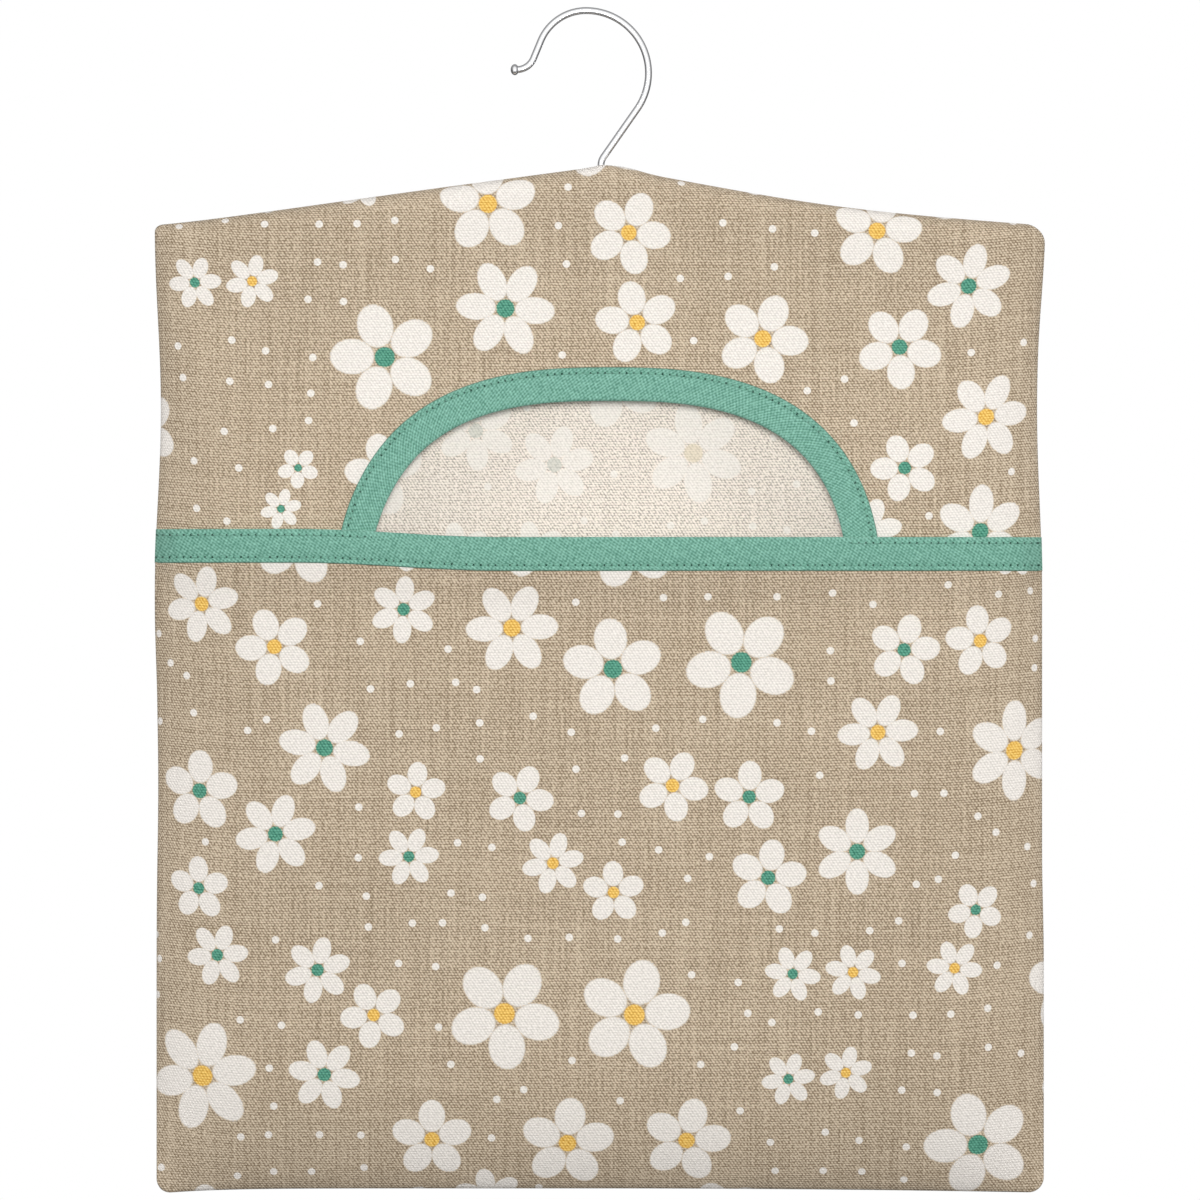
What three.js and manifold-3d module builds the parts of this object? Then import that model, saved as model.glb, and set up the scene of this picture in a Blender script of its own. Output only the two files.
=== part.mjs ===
// Peg bag: a flat cloth bag sewn round a small wooden hanger, with a bound mouth in its front.
// Millimetres, +Z up, the bag's front towards -Y. The origin is the point under the hook's crown
// where the bag hangs, on the axis about which the bag swivels under its hook.
import * as THREE from "three";
import { mergeVertices } from "three/addons/utils/BufferGeometryUtils.js";
import Module from "manifold-3d";

const wasm = await Module();
wasm.setup();

// Hook: plated wire, bent flat in the XZ plane
const WIRE_DIAMETER = 2.5;
const CROWN_RADIUS = 22.5; // centreline, from the top round to the long side
const FRONT_RADIUS = 17.6; // centreline, from the top round to the tip
const CROWN_OFFSET = 5.4; // the crown's centre lies this far to the left of the swivel axis
const SLANT_DEG = 35; // the long side's lean from the swivel axis
const NECK_RADIUS = 5.2;
const FRONT_SWEEP_DEG = 67.5; // from the top to where the front straightens
const FRONT_STRAIGHT = 6.9;
const TIP_BEND_RADIUS = 6.5;
const TIP_TURN_DEG = 66;
const TIP_STRAIGHT = 0.6;
const TIP_BALL_DIAMETER = 4.2;
const HOOK_HEAD_DIAMETER = 5;
const HOOK_HEAD_HEIGHT = 1.6;

// Hanger: one flat wooden bar, hidden in the top of the bag
const HANGER_LENGTH = 294;
const HANGER_THICKNESS = 12;
const HANGER_MIDDLE_DEPTH = 30;
const HANGER_END_DEPTH = 16;
const HANGER_EDGE_ROUND = 4;
const COUNTERBORE_DIAMETER = 9.5;
const COUNTERBORE_DEPTH = 6;
const WASHER_DIAMETER = 8;
const WASHER_THICKNESS = 0.8;

// Bag: outline as it hangs empty
const BAG_WIDTH = 320;
const BAG_HEIGHT = 368; // from the peak to the bottom edge
const NECK_CLEAR = 0.36; // the peak lies this far under the end of the hook's neck bend
const SHOULDER_DROP = 21.2; // from the peak to the top corners
const SHOULDER_POWER = 1.25; // above 1 the shoulders flatten towards the corners
const CORNER_RADIUS = 4.5;
const WAIST = 2.4; // how far each side draws in between the shoulder and the crossbar

// Cloth and its layers
const CLOTH = 0.7;
const BINDING_LEAF = 0.6;
const THREAD = 0.5;
const LAYER_GAP = 0.3; // clearance between layers that lie on each other
const RUNNING_GAP = 0.25; // clearance round the hook's shank

// How the cloth stands out from the seam plane
const FRONT_BULGE = 14; // inside depth of the front at the crossbar and below
const HANGER_EASE = 0.4; // clearance between the hanger's faces and the cloth
const TOP_ROUND = 8; // the cloth rounds over the hanger within this distance of the top edge
const SIDE_REACH_TOP = 14; // the sides close within this distance at the hanger
const SIDE_REACH = 45; // and within this distance below the crossbar
const BOTTOM_REACH = 60;
const CLOSING_POWER = 0.7;

// Mouth: a superellipse cut in the front, bound with tape, and closed below by the crossbar
const MOUTH_OFFSET = 3.3; // the mouth sits this far to the right of the swivel axis
const ARCH_HALF_WIDTH = 97.6; // outer edge of the tape
const ARCH_HEIGHT = 89;
const ARCH_POWER = 2.63;
const ARCH_TOP_DROP = 72.6; // from the peak to the tape's outer edge
const BINDING_WIDTH = 12.2;
const CROSSBAR_DROP = 133.6; // from the peak to the crossbar's top edge
const CROSSBAR_RISE = 2.9; // the left end is sewn on this much higher
const RISE_FROM = 108; // the crossbar starts to come down this far to the left of the axis
const RISE_TO = 36; // and is level again from here to the right end
const LAP_MARGIN = 1.5; // the upper front ends this far above the crossbar's lower edge
const LAP_RAMP = 14; // the lower front steps out over the lap within this height

// Seams and stitching
const SEAM_ALLOWANCE = 10;
const SEAM_THICKNESS = 1.4;
const TOP_SEAM_DEPTH = 2.4;
const SEAM_INSET = 0.8; // the turned edges start this far inside the outline
const OVERLOCK_WIDTH = 4;
const STITCH_INSET = 2.1; // from the tape's edge to the stitch line
const STITCH_WIDTH = 0.6;

// Meshing
const ROUND_SIDES = 10;
const HOOK_STEP = 2.8;
const ARCH_STEPS = 28;
const OUTLINE_STEPS = 8;
const OVERRUN = 1; // layers reach past the outline that trims them
const FAR = 60; // half the depth of a cutting prism

// Heights that follow from the sizes above
const HALF_WIDTH = BAG_WIDTH / 2;
const SHANK_RADIUS = WIRE_DIAMETER / 2;
const CROWN_CENTRE_Z = -Math.sqrt((CROWN_RADIUS - SHANK_RADIUS) ** 2 - CROWN_OFFSET ** 2);
const SLANT = THREE.MathUtils.degToRad(SLANT_DEG);
const SLANT_TOP_X = CROWN_RADIUS * Math.cos(SLANT) - CROWN_OFFSET;
const SLANT_TOP_Z = CROWN_CENTRE_Z - CROWN_RADIUS * Math.sin(SLANT);
const NECK_Z = SLANT_TOP_Z - SLANT_TOP_X / Math.tan(SLANT) - NECK_RADIUS * Math.tan(SLANT / 2);
const PEAK_Z = NECK_Z - NECK_CLEAR;
const BOTTOM_Z = PEAK_Z - BAG_HEIGHT;
const CORNER_Z = PEAK_Z - SHOULDER_DROP;
const CROSSBAR_TOP_Z = PEAK_Z - CROSSBAR_DROP;
const CROSSBAR_BOTTOM_Z = CROSSBAR_TOP_Z - BINDING_WIDTH;
const LAP_Z = CROSSBAR_BOTTOM_Z + LAP_MARGIN;
const ARCH_CENTRE_Z = PEAK_Z - ARCH_TOP_DROP - ARCH_HEIGHT;
const TOP_SEAM_BOTTOM = SEAM_INSET + TOP_SEAM_DEPTH;
const HANGER_TOP_DROP = TOP_SEAM_BOTTOM + LAYER_GAP; // from the bag's top edge to the hanger's
const HANGER_BOTTOM_Z = PEAK_Z - HANGER_TOP_DROP - HANGER_MIDDLE_DEPTH;
const HANGER_INSIDE = HANGER_THICKNESS / 2 + HANGER_EASE; // the cloth's inside face at the hanger
const COUNTERBORE_Z = HANGER_BOTTOM_Z + COUNTERBORE_DEPTH;
const WASHER_TOP_Z = COUNTERBORE_Z - LAYER_GAP;
const HEAD_TOP_Z = WASHER_TOP_Z - WASHER_THICKNESS - LAYER_GAP;
const SHANK_BOTTOM_Z = HEAD_TOP_Z - HOOK_HEAD_HEIGHT;

// Depths of the front's layers, each counted from the cloth's inside face outwards
const TAPE_ON_UPPER = CLOTH + LAYER_GAP;
const BAR_BACK = TAPE_ON_UPPER + BINDING_LEAF + LAYER_GAP;
const LOWER_FRONT = BAR_BACK + BINDING_LEAF + LAYER_GAP;
const BAR_FRONT = LOWER_FRONT + CLOTH + LAYER_GAP;
const BAR_THREAD = BAR_FRONT + BINDING_LEAF + LAYER_GAP;
const UPPER_THREAD = TAPE_ON_UPPER + BINDING_LEAF + LAYER_GAP;

const clamp01 = (t) => THREE.MathUtils.clamp(t, 0, 1);
const ease = (t, from, to) => THREE.MathUtils.smoothstep(t, from, to);

// Height of the bag's top edge at x: it falls from the peak and flattens towards the corners.
function topEdge(x) {
  const share = clamp01(Math.abs(x) / HALF_WIDTH);
  return PEAK_Z - SHOULDER_DROP * (1 - (1 - share) ** SHOULDER_POWER);
}

// Half the bag's width at height z: the sides draw in between the shoulder and the crossbar.
function halfWidth(z) {
  const share = clamp01((CORNER_Z - z) / (CORNER_Z - CROSSBAR_TOP_Z));
  return HALF_WIDTH - WAIST * Math.sin(Math.PI * share) ** 2;
}

// Height of the crossbar above its level stretch at x.
const crossbarRise = (x) => CROSSBAR_RISE * (1 - ease(x, -RISE_FROM, -RISE_TO));

// How open the bag is at (x, z), from 0 on the seams to 1 in the middle.
function openness(x, z) {
  const low = ease(z, CROSSBAR_TOP_Z, HANGER_BOTTOM_Z - HANGER_END_DEPTH);
  const sideReach = THREE.MathUtils.lerp(SIDE_REACH, SIDE_REACH_TOP, low);
  const side = clamp01((halfWidth(z) - Math.abs(x)) / sideReach);
  const bottom = clamp01((z - BOTTOM_Z) / BOTTOM_REACH);
  const top = clamp01((topEdge(x) - z) / TOP_ROUND);
  const closing = (s) => (1 - (1 - s) ** 2) ** CLOSING_POWER;
  return closing(side) * closing(bottom) * Math.sqrt(1 - (1 - top) ** 2);
}

// Inside face of the back and of the front, as distances from the seam plane.
const SEAM_FACE = LAYER_GAP / 2;
const backInside = (x, z) => SEAM_FACE + (HANGER_INSIDE - SEAM_FACE) * openness(x, z);
function frontInside(x, z) {
  const share = 1 - ease(z, CROSSBAR_TOP_Z, HANGER_BOTTOM_Z);
  const depth = THREE.MathUtils.lerp(HANGER_INSIDE, FRONT_BULGE, share);
  return SEAM_FACE + (depth - SEAM_FACE) * openness(x, z);
}

// The lower front steps outwards where it laps over the upper front.
const lapStep = (z) => LOWER_FRONT * ease(z, CROSSBAR_BOTTOM_Z - LAP_RAMP, CROSSBAR_BOTTOM_Z);

// A closed geometry as a solid, and back.
function solidOf(geometry) {
  const bare = geometry.clone();
  bare.deleteAttribute("normal");
  bare.deleteAttribute("uv");
  const merged = mergeVertices(bare, 1e-4);
  const vertProperties = new Float32Array(merged.attributes.position.array);
  const triVerts = new Uint32Array(merged.index.array);
  return new wasm.Manifold(new wasm.Mesh({ numProp: 3, vertProperties, triVerts }));
}

function geometryOf(solid) {
  const made = solid.getMesh();
  const geometry = new THREE.BufferGeometry();
  geometry.setAttribute("position", new THREE.BufferAttribute(made.vertProperties, 3));
  geometry.setIndex(new THREE.BufferAttribute(made.triVerts, 1));
  geometry.computeVertexNormals();
  return geometry;
}

// A prism along Y whose outline in X and Z is the shape's.
function prism(shape, depth = 2 * FAR) {
  const options = { depth, bevelEnabled: false, curveSegments: OUTLINE_STEPS };
  const geometry = new THREE.ExtrudeGeometry(shape, options);
  return solidOf(geometry.rotateX(Math.PI / 2).translate(0, depth / 2, 0));
}

// A prism along Y over a rectangle in X and Z.
function boxPrism(fromX, toX, fromZ, toZ) {
  const shape = new THREE.Shape();
  shape.moveTo(fromX, fromZ).lineTo(toX, fromZ).lineTo(toX, toZ).lineTo(fromX, toZ);
  return prism(shape);
}

function uprightCylinder(radius, bottomZ, topZ, sides = 2 * ROUND_SIDES) {
  const geometry = new THREE.CylinderGeometry(radius, radius, topZ - bottomZ, sides);
  return solidOf(geometry.rotateX(Math.PI / 2).translate(0, 0, (bottomZ + topZ) / 2));
}

// Columns and rows of the grid that every cloth layer shares, so that layers keep their gaps.
const SHARES_TO_EDGE = [0, 0.06, 0.15, 0.3, 0.55, 1];
const MIDDLE_SHARES = [-0.5, 0, 0.5];
function gridColumns() {
  const fromEdge = [-OVERRUN, ...SHARES_TO_EDGE.map((s) => s * SIDE_REACH)];
  const right = fromEdge.map((a) => HALF_WIDTH - a);
  const middle = MIDDLE_SHARES.map((s) => s * (HALF_WIDTH - SIDE_REACH));
  return [...right.map((x) => -x), ...middle, ...right.reverse()];
}

function gridRows() {
  const fromBottom = [-OVERRUN, ...SHARES_TO_EDGE.map((s) => s * BOTTOM_REACH)];
  const bottom = fromBottom.map((b) => () => BOTTOM_Z + b);
  const between = (from, to, shares) => shares.map((s) => () => THREE.MathUtils.lerp(from, to, s));
  const rampZ = CROSSBAR_BOTTOM_Z - LAP_RAMP;
  const pocket = between(BOTTOM_Z + BOTTOM_REACH, rampZ, [0.5, 1]);
  const lap = between(rampZ, CROSSBAR_BOTTOM_Z, [0.33, 0.67, 1]);
  const bar = [() => CROSSBAR_TOP_Z];
  const upper = between(CROSSBAR_TOP_Z, HANGER_BOTTOM_Z - HANGER_END_DEPTH, [0.25, 0.5, 0.75, 1]);
  const top = [1, 0.65, 0.4, 0.2, 0.07, 0].map((s) => (x) => topEdge(x) - s * TOP_ROUND);
  const past = (x) => topEdge(x) + OVERRUN;
  return [...bottom, ...pocket, ...lap, ...bar, ...upper, ...top, past];
}

// One layer of cloth: a closed slab whose faces lie at the depths that near and far give, along side Y.
function layer(side, near, far) {
  const columns = gridColumns();
  const rows = gridRows();
  const at = (i, j, face) => {
    const z = rows[j](columns[i]);
    const x = (columns[i] * halfWidth(z)) / HALF_WIDTH;
    return [x, side * face(x, z), z];
  };
  const [lowFace, highFace] = side < 0 ? [far, near] : [near, far];
  const points = [];
  for (const face of [lowFace, highFace])
    for (let j = 0; j < rows.length; j++)
      for (let i = 0; i < columns.length; i++) points.push(...at(i, j, face));
  const wide = columns.length;
  const sheet = wide * rows.length;
  const index = [];
  const quad = (a, b, c, d) => index.push(a, b, c, a, c, d);
  for (let j = 0; j + 1 < rows.length; j++)
    for (let i = 0; i + 1 < wide; i++) {
      const k = j * wide + i;
      quad(k, k + 1, k + 1 + wide, k + wide);
      quad(sheet + k, sheet + k + wide, sheet + k + wide + 1, sheet + k + 1);
    }
  for (let i = 0; i + 1 < wide; i++) {
    const last = sheet - wide + i;
    quad(i, sheet + i, sheet + i + 1, i + 1);
    quad(last, last + 1, sheet + last + 1, sheet + last);
  }
  for (let j = 0; j + 1 < rows.length; j++) {
    const left = j * wide;
    const right = left + wide - 1;
    quad(left, left + wide, sheet + left + wide, sheet + left);
    quad(right, sheet + right, sheet + right + wide, right + wide);
  }
  const geometry = new THREE.BufferGeometry();
  geometry.setAttribute("position", new THREE.Float32BufferAttribute(points, 3));
  geometry.setIndex(index);
  return solidOf(geometry);
}

const plus = (face, more) => (x, z) => face(x, z) + more;
const frontLayer = (from, to) => layer(-1, plus(frontInside, from), plus(frontInside, to));
const lapInside = (x, z) => frontInside(x, z) + lapStep(z) - LOWER_FRONT;
const lapLayer = (from, to) => layer(-1, plus(lapInside, from), plus(lapInside, to));

// The bag's outline, drawn in by inset on every side.
function outlineShape(inset = 0) {
  const radius = Math.max(CORNER_RADIUS - inset, 0.5);
  const shoulderX = HALF_WIDTH - inset - radius;
  const shoulderZ = topEdge(shoulderX + inset) - inset;
  const side = (z) => halfWidth(z) - inset;
  const shape = new THREE.Shape();
  shape.absarc(-shoulderX, BOTTOM_Z + inset + radius, radius, Math.PI, 1.5 * Math.PI);
  shape.absarc(shoulderX, BOTTOM_Z + inset + radius, radius, 1.5 * Math.PI, 2 * Math.PI);
  for (let i = 1; i < OUTLINE_STEPS; i++) {
    const z = THREE.MathUtils.lerp(CROSSBAR_TOP_Z, shoulderZ - radius, i / OUTLINE_STEPS);
    shape.lineTo(side(z), z);
  }
  shape.absarc(shoulderX, shoulderZ - radius, radius, 0, Math.PI / 2);
  for (let i = OUTLINE_STEPS - 1; i > -OUTLINE_STEPS; i--) {
    const x = (shoulderX * i) / OUTLINE_STEPS;
    shape.lineTo(x, topEdge(x) - inset);
  }
  shape.absarc(-shoulderX, shoulderZ - radius, radius, Math.PI / 2, Math.PI);
  for (let i = OUTLINE_STEPS - 1; i > 0; i--) {
    const z = THREE.MathUtils.lerp(CROSSBAR_TOP_Z, shoulderZ - radius, i / OUTLINE_STEPS);
    shape.lineTo(-side(z), z);
  }
  return shape;
}

// A band across the whole bag between two heights over the crossbar's line, for cutting.
function barShape(below, above, fromX = -BAG_WIDTH, toX = BAG_WIDTH) {
  const stops = [fromX, toX];
  for (let i = 0; i <= OUTLINE_STEPS; i++)
    stops.push(THREE.MathUtils.lerp(-RISE_FROM, -RISE_TO, i / OUTLINE_STEPS));
  const xs = stops.filter((x) => x >= fromX && x <= toX).sort((a, b) => a - b);
  const height = (x) => CROSSBAR_TOP_Z + crossbarRise(x);
  const line = (offset) => xs.map((x) => new THREE.Vector2(x, height(x) + offset));
  return new THREE.Shape([...line(below), ...line(above).reverse()]);
}

// The mouth's arch, drawn in by inset from the tape's outer edge, and closed below by a straight foot.
function archShape(inset, footZ) {
  const footAngle = Math.asin(clamp01((footZ - ARCH_CENTRE_Z) / ARCH_HEIGHT) ** (ARCH_POWER / 2));
  const curve = (angle) => {
    const c = Math.cos(angle);
    const s = Math.sin(angle);
    const x = MOUTH_OFFSET + ARCH_HALF_WIDTH * Math.sign(c) * Math.abs(c) ** (2 / ARCH_POWER);
    const z = ARCH_CENTRE_Z + ARCH_HEIGHT * Math.abs(s) ** (2 / ARCH_POWER);
    return new THREE.Vector2(x, z);
  };
  const points = [];
  for (let i = 0; i <= ARCH_STEPS; i++) {
    const angle = THREE.MathUtils.lerp(footAngle, Math.PI - footAngle, i / ARCH_STEPS);
    const step = 1e-3;
    const along = curve(angle + step).sub(curve(angle - step)).normalize();
    points.push(curve(angle).add(new THREE.Vector2(-along.y, along.x).multiplyScalar(inset)));
  }
  points[0].y = footZ;
  points[ARCH_STEPS].y = footZ;
  return new THREE.Shape(points);
}

// Wire hook, with a ball at its tip and a swaged head under the hanger's washer
class FlatCurve extends THREE.Curve {
  constructor(path) {
    super();
    this.path = path;
  }
  getPoint(t, target = new THREE.Vector3()) {
    const p = this.path.getPointAt(t);
    return target.set(p.x, 0, p.y);
  }
}

function hookPath() {
  const path = new THREE.Path();
  path.moveTo(0, SHANK_BOTTOM_Z);
  path.lineTo(0, NECK_Z);
  path.absarc(NECK_RADIUS, NECK_Z, NECK_RADIUS, Math.PI, Math.PI - SLANT, true);
  path.lineTo(SLANT_TOP_X, SLANT_TOP_Z);
  path.absarc(-CROWN_OFFSET, CROWN_CENTRE_Z, CROWN_RADIUS, -SLANT, Math.PI / 2);
  const frontEnd = Math.PI / 2 + THREE.MathUtils.degToRad(FRONT_SWEEP_DEG);
  const frontZ = CROWN_CENTRE_Z + CROWN_RADIUS - FRONT_RADIUS;
  path.absarc(-CROWN_OFFSET, frontZ, FRONT_RADIUS, Math.PI / 2, frontEnd);
  const down = new THREE.Vector2(-Math.sin(frontEnd), Math.cos(frontEnd));
  const bendStart = path.currentPoint.clone().addScaledVector(down, FRONT_STRAIGHT);
  path.lineTo(bendStart.x, bendStart.y);
  const outwards = new THREE.Vector2(down.y, -down.x);
  const centre = bendStart.clone().addScaledVector(outwards, TIP_BEND_RADIUS);
  const startAngle = Math.atan2(bendStart.y - centre.y, bendStart.x - centre.x);
  const endAngle = startAngle - THREE.MathUtils.degToRad(TIP_TURN_DEG);
  path.absarc(centre.x, centre.y, TIP_BEND_RADIUS, startAngle, endAngle, true);
  const out = new THREE.Vector2(Math.sin(endAngle), -Math.cos(endAngle));
  const tip = path.currentPoint.clone().addScaledVector(out, TIP_STRAIGHT);
  path.lineTo(tip.x, tip.y);
  return { path, tip };
}

function makeHook() {
  const { path, tip } = hookPath();
  const section = new THREE.Shape();
  for (let i = 0; i < ROUND_SIDES; i++) {
    const angle = (2 * Math.PI * i) / ROUND_SIDES;
    const point = [SHANK_RADIUS * Math.cos(angle), SHANK_RADIUS * Math.sin(angle)];
    if (i) section.lineTo(...point);
    else section.moveTo(...point);
  }
  const steps = Math.round(path.getLength() / HOOK_STEP);
  const wire = new THREE.ExtrudeGeometry(section, { steps, extrudePath: new FlatCurve(path) });
  const ball = new THREE.SphereGeometry(TIP_BALL_DIAMETER / 2, ROUND_SIDES, ROUND_SIDES / 2);
  const head = uprightCylinder(HOOK_HEAD_DIAMETER / 2, SHANK_BOTTOM_Z, HEAD_TOP_Z, ROUND_SIDES);
  return solidOf(wire).add(solidOf(ball.translate(tip.x, 0, tip.y))).add(head);
}

// Wooden hanger: its top edge runs parallel to the bag's, and its ends are round
function makeHanger() {
  const endRadius = HANGER_END_DEPTH / 2;
  const endX = HANGER_LENGTH / 2 - endRadius;
  const top = (x) => topEdge(x) - HANGER_TOP_DROP;
  const depth = (x) =>
    THREE.MathUtils.lerp(HANGER_MIDDLE_DEPTH, HANGER_END_DEPTH, ease(Math.abs(x), 0, endX));
  const endZ = top(endX) - endRadius;
  const shape = new THREE.Shape();
  shape.absarc(-endX, endZ, endRadius, Math.PI / 2, 1.5 * Math.PI);
  for (let i = 1 - OUTLINE_STEPS; i < OUTLINE_STEPS; i++) {
    const x = (endX * i) / OUTLINE_STEPS;
    shape.lineTo(x, top(x) - depth(x));
  }
  shape.absarc(endX, endZ, endRadius, -Math.PI / 2, Math.PI / 2);
  for (let i = OUTLINE_STEPS - 1; i > -OUTLINE_STEPS; i--) {
    const x = (endX * i) / OUTLINE_STEPS;
    shape.lineTo(x, top(x));
  }
  const geometry = new THREE.ExtrudeGeometry(shape, {
    depth: HANGER_THICKNESS - 2 * HANGER_EDGE_ROUND,
    bevelThickness: HANGER_EDGE_ROUND,
    bevelSize: HANGER_EDGE_ROUND,
    bevelOffset: -HANGER_EDGE_ROUND,
    bevelSegments: 2,
    curveSegments: OUTLINE_STEPS / 2,
  });
  geometry.rotateX(Math.PI / 2).translate(0, HANGER_THICKNESS / 2 - HANGER_EDGE_ROUND, 0);
  const bore = uprightCylinder(SHANK_RADIUS + RUNNING_GAP, BOTTOM_Z, PEAK_Z);
  const counterbore = uprightCylinder(COUNTERBORE_DIAMETER / 2, BOTTOM_Z, COUNTERBORE_Z);
  return solidOf(geometry).subtract(bore).subtract(counterbore);
}

function makeWasher() {
  const inner = SHANK_RADIUS + RUNNING_GAP;
  const outer = WASHER_DIAMETER / 2;
  const profile = [
    [inner, 0],
    [outer, 0],
    [outer, WASHER_THICKNESS],
    [inner, WASHER_THICKNESS],
    [inner, 0],
  ].map(([r, z]) => new THREE.Vector2(r, z));
  return new THREE.LatheGeometry(profile, 2 * ROUND_SIDES).rotateX(Math.PI / 2);
}

// Cloth panels: the hook leaves through a gap in the top seam
const outline = prism(outlineShape());
const HOOK_GAP_RADIUS = SHANK_RADIUS + 2 * RUNNING_GAP;
const hookGap = uprightCylinder(HOOK_GAP_RADIUS, PEAK_Z - 2 * TOP_ROUND, PEAK_Z + TOP_ROUND);
const aboveLap = prism(barShape(LAP_Z - CROSSBAR_TOP_Z, BAG_HEIGHT));
const MOUTH_INSET = BINDING_WIDTH - BINDING_LEAF - LAYER_GAP;
const mouthCut = prism(archShape(MOUTH_INSET, LAP_Z - CROSSBAR_RISE - OVERRUN));

function makeBackPanel() {
  return layer(1, backInside, plus(backInside, CLOTH)).intersect(outline).subtract(hookGap);
}

function makeUpperFront() {
  const trimmed = frontLayer(0, CLOTH).intersect(outline).intersect(aboveLap);
  return trimmed.subtract(mouthCut).subtract(hookGap);
}

function makeLowerFront() {
  const belowBar = prism(barShape(-BAG_HEIGHT, -BINDING_LEAF - LAYER_GAP));
  return lapLayer(LOWER_FRONT, LOWER_FRONT + CLOTH).intersect(outline).intersect(belowBar);
}

// Bindings: tape folded over a cloth edge, so a channel with a leaf on each face
function makeMouthBinding() {
  const foot = LAP_Z - CROSSBAR_RISE - OVERRUN;
  const band = prism(archShape(0, foot)).subtract(prism(archShape(BINDING_WIDTH, foot - OVERRUN)));
  const channel = frontLayer(-LAYER_GAP - BINDING_LEAF, TAPE_ON_UPPER + BINDING_LEAF);
  const cavity = frontLayer(-LAYER_GAP, TAPE_ON_UPPER);
  const web = prism(archShape(BINDING_WIDTH - BINDING_LEAF, foot - OVERRUN));
  return channel.subtract(cavity.subtract(web)).intersect(band).intersect(aboveLap);
}

function makeCrossbarBinding() {
  const bar = prism(barShape(-BINDING_WIDTH, 0));
  const cavity = lapLayer(BAR_BACK + BINDING_LEAF, BAR_FRONT);
  const belowWeb = prism(barShape(-BAG_HEIGHT, -BINDING_LEAF));
  const channel = lapLayer(BAR_BACK, BAR_FRONT + BINDING_LEAF).intersect(outline).intersect(bar);
  return channel.subtract(cavity.intersect(belowWeb));
}

// Seams: the turned-in edges of both cloths with the thread that binds them, between front and back
function seamBand(depth) {
  const spare = (face) => (x, z) => Math.max(Math.min(SEAM_THICKNESS / 2, face(x, z) - LAYER_GAP), 0.05);
  const slab = layer(1, (x, z) => -spare(frontInside)(x, z), spare(backInside));
  const trimmed = slab.intersect(prism(outlineShape(SEAM_INSET)));
  return trimmed.subtract(prism(outlineShape(SEAM_INSET + depth)));
}

function makeSideSeam(side) {
  const fromZ = BOTTOM_Z + SEAM_INSET + SEAM_ALLOWANCE + LAYER_GAP;
  const toZ = CORNER_Z - TOP_ROUND - HANGER_END_DEPTH;
  const [fromX, toX] = side < 0 ? [-BAG_WIDTH, 0] : [0, BAG_WIDTH];
  return seamBand(SEAM_ALLOWANCE).intersect(boxPrism(fromX, toX, fromZ, toZ));
}

function makeBottomSeam() {
  const toZ = BOTTOM_Z + SEAM_INSET + SEAM_ALLOWANCE;
  return seamBand(SEAM_ALLOWANCE).intersect(boxPrism(-BAG_WIDTH, BAG_WIDTH, BOTTOM_Z, toZ));
}

function makeTopSeam(side) {
  const gapX = SHANK_RADIUS + 2 * RUNNING_GAP + LAYER_GAP;
  const endX = HALF_WIDTH - CORNER_RADIUS;
  const [fromX, toX] = side < 0 ? [-endX, -gapX] : [gapX, endX];
  return seamBand(TOP_SEAM_DEPTH).intersect(boxPrism(fromX, toX, CORNER_Z - CORNER_RADIUS, PEAK_Z));
}

// Overlock thread on the raw lower edge of the upper front, on each side of the mouth
function makeLapOverlock(side) {
  const nearX = MOUTH_OFFSET + side * (ARCH_HALF_WIDTH + LAYER_GAP);
  const farX = side * (HALF_WIDTH - SEAM_INSET - SEAM_ALLOWANCE - LAYER_GAP);
  const [fromX, toX] = [nearX, farX].sort((a, b) => a - b);
  const edge = LAP_Z - CROSSBAR_TOP_Z;
  const band = prism(barShape(edge, edge + OVERLOCK_WIDTH, fromX, toX));
  return frontLayer(-LAYER_GAP - THREAD, -LAYER_GAP).intersect(band);
}

// Stitch lines, each one run of thread along the tape
function makeMouthStitching() {
  const foot = CROSSBAR_TOP_Z + CROSSBAR_RISE + LAYER_GAP;
  const outer = prism(archShape(STITCH_INSET - STITCH_WIDTH / 2, foot));
  const inner = prism(archShape(STITCH_INSET + STITCH_WIDTH / 2, foot - OVERRUN));
  return frontLayer(UPPER_THREAD, UPPER_THREAD + THREAD).intersect(outer.subtract(inner));
}

function makeBarStitching(offset, fromX, toX) {
  const line = prism(barShape(offset - STITCH_WIDTH / 2, offset + STITCH_WIDTH / 2, fromX, toX));
  return lapLayer(BAR_THREAD, BAR_THREAD + THREAD).intersect(outline).intersect(line);
}

const MATERIALS = {
  steel: new THREE.MeshStandardMaterial({ color: 0xd9dbde, roughness: 0.12, metalness: 1 }),
  zinc: new THREE.MeshStandardMaterial({ color: 0xb4b6b8, roughness: 0.4, metalness: 1 }),
  wood: new THREE.MeshStandardMaterial({ color: 0xc79a63, roughness: 0.6, metalness: 0 }),
  print: new THREE.MeshStandardMaterial({ color: 0xb5a184, roughness: 0.9, metalness: 0 }),
  tape: new THREE.MeshStandardMaterial({ color: 0x5fae91, roughness: 0.85, metalness: 0 }),
  thread: new THREE.MeshStandardMaterial({ color: 0x4d9c80, roughness: 0.8, metalness: 0 }),
  overlock: new THREE.MeshStandardMaterial({ color: 0xe4ddd0, roughness: 0.9, metalness: 0 }),
};

function piece(name, shape, material) {
  const geometry = shape.isBufferGeometry ? shape : geometryOf(shape);
  const mesh = new THREE.Mesh(geometry, MATERIALS[material]);
  mesh.name = name;
  return mesh;
}

const hanger = new THREE.Group();
const washer = piece("swivel_washer", makeWasher(), "zinc");
washer.position.z = WASHER_TOP_Z - WASHER_THICKNESS;
hanger.add(piece("hanger_bar", makeHanger(), "wood"), washer);

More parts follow.
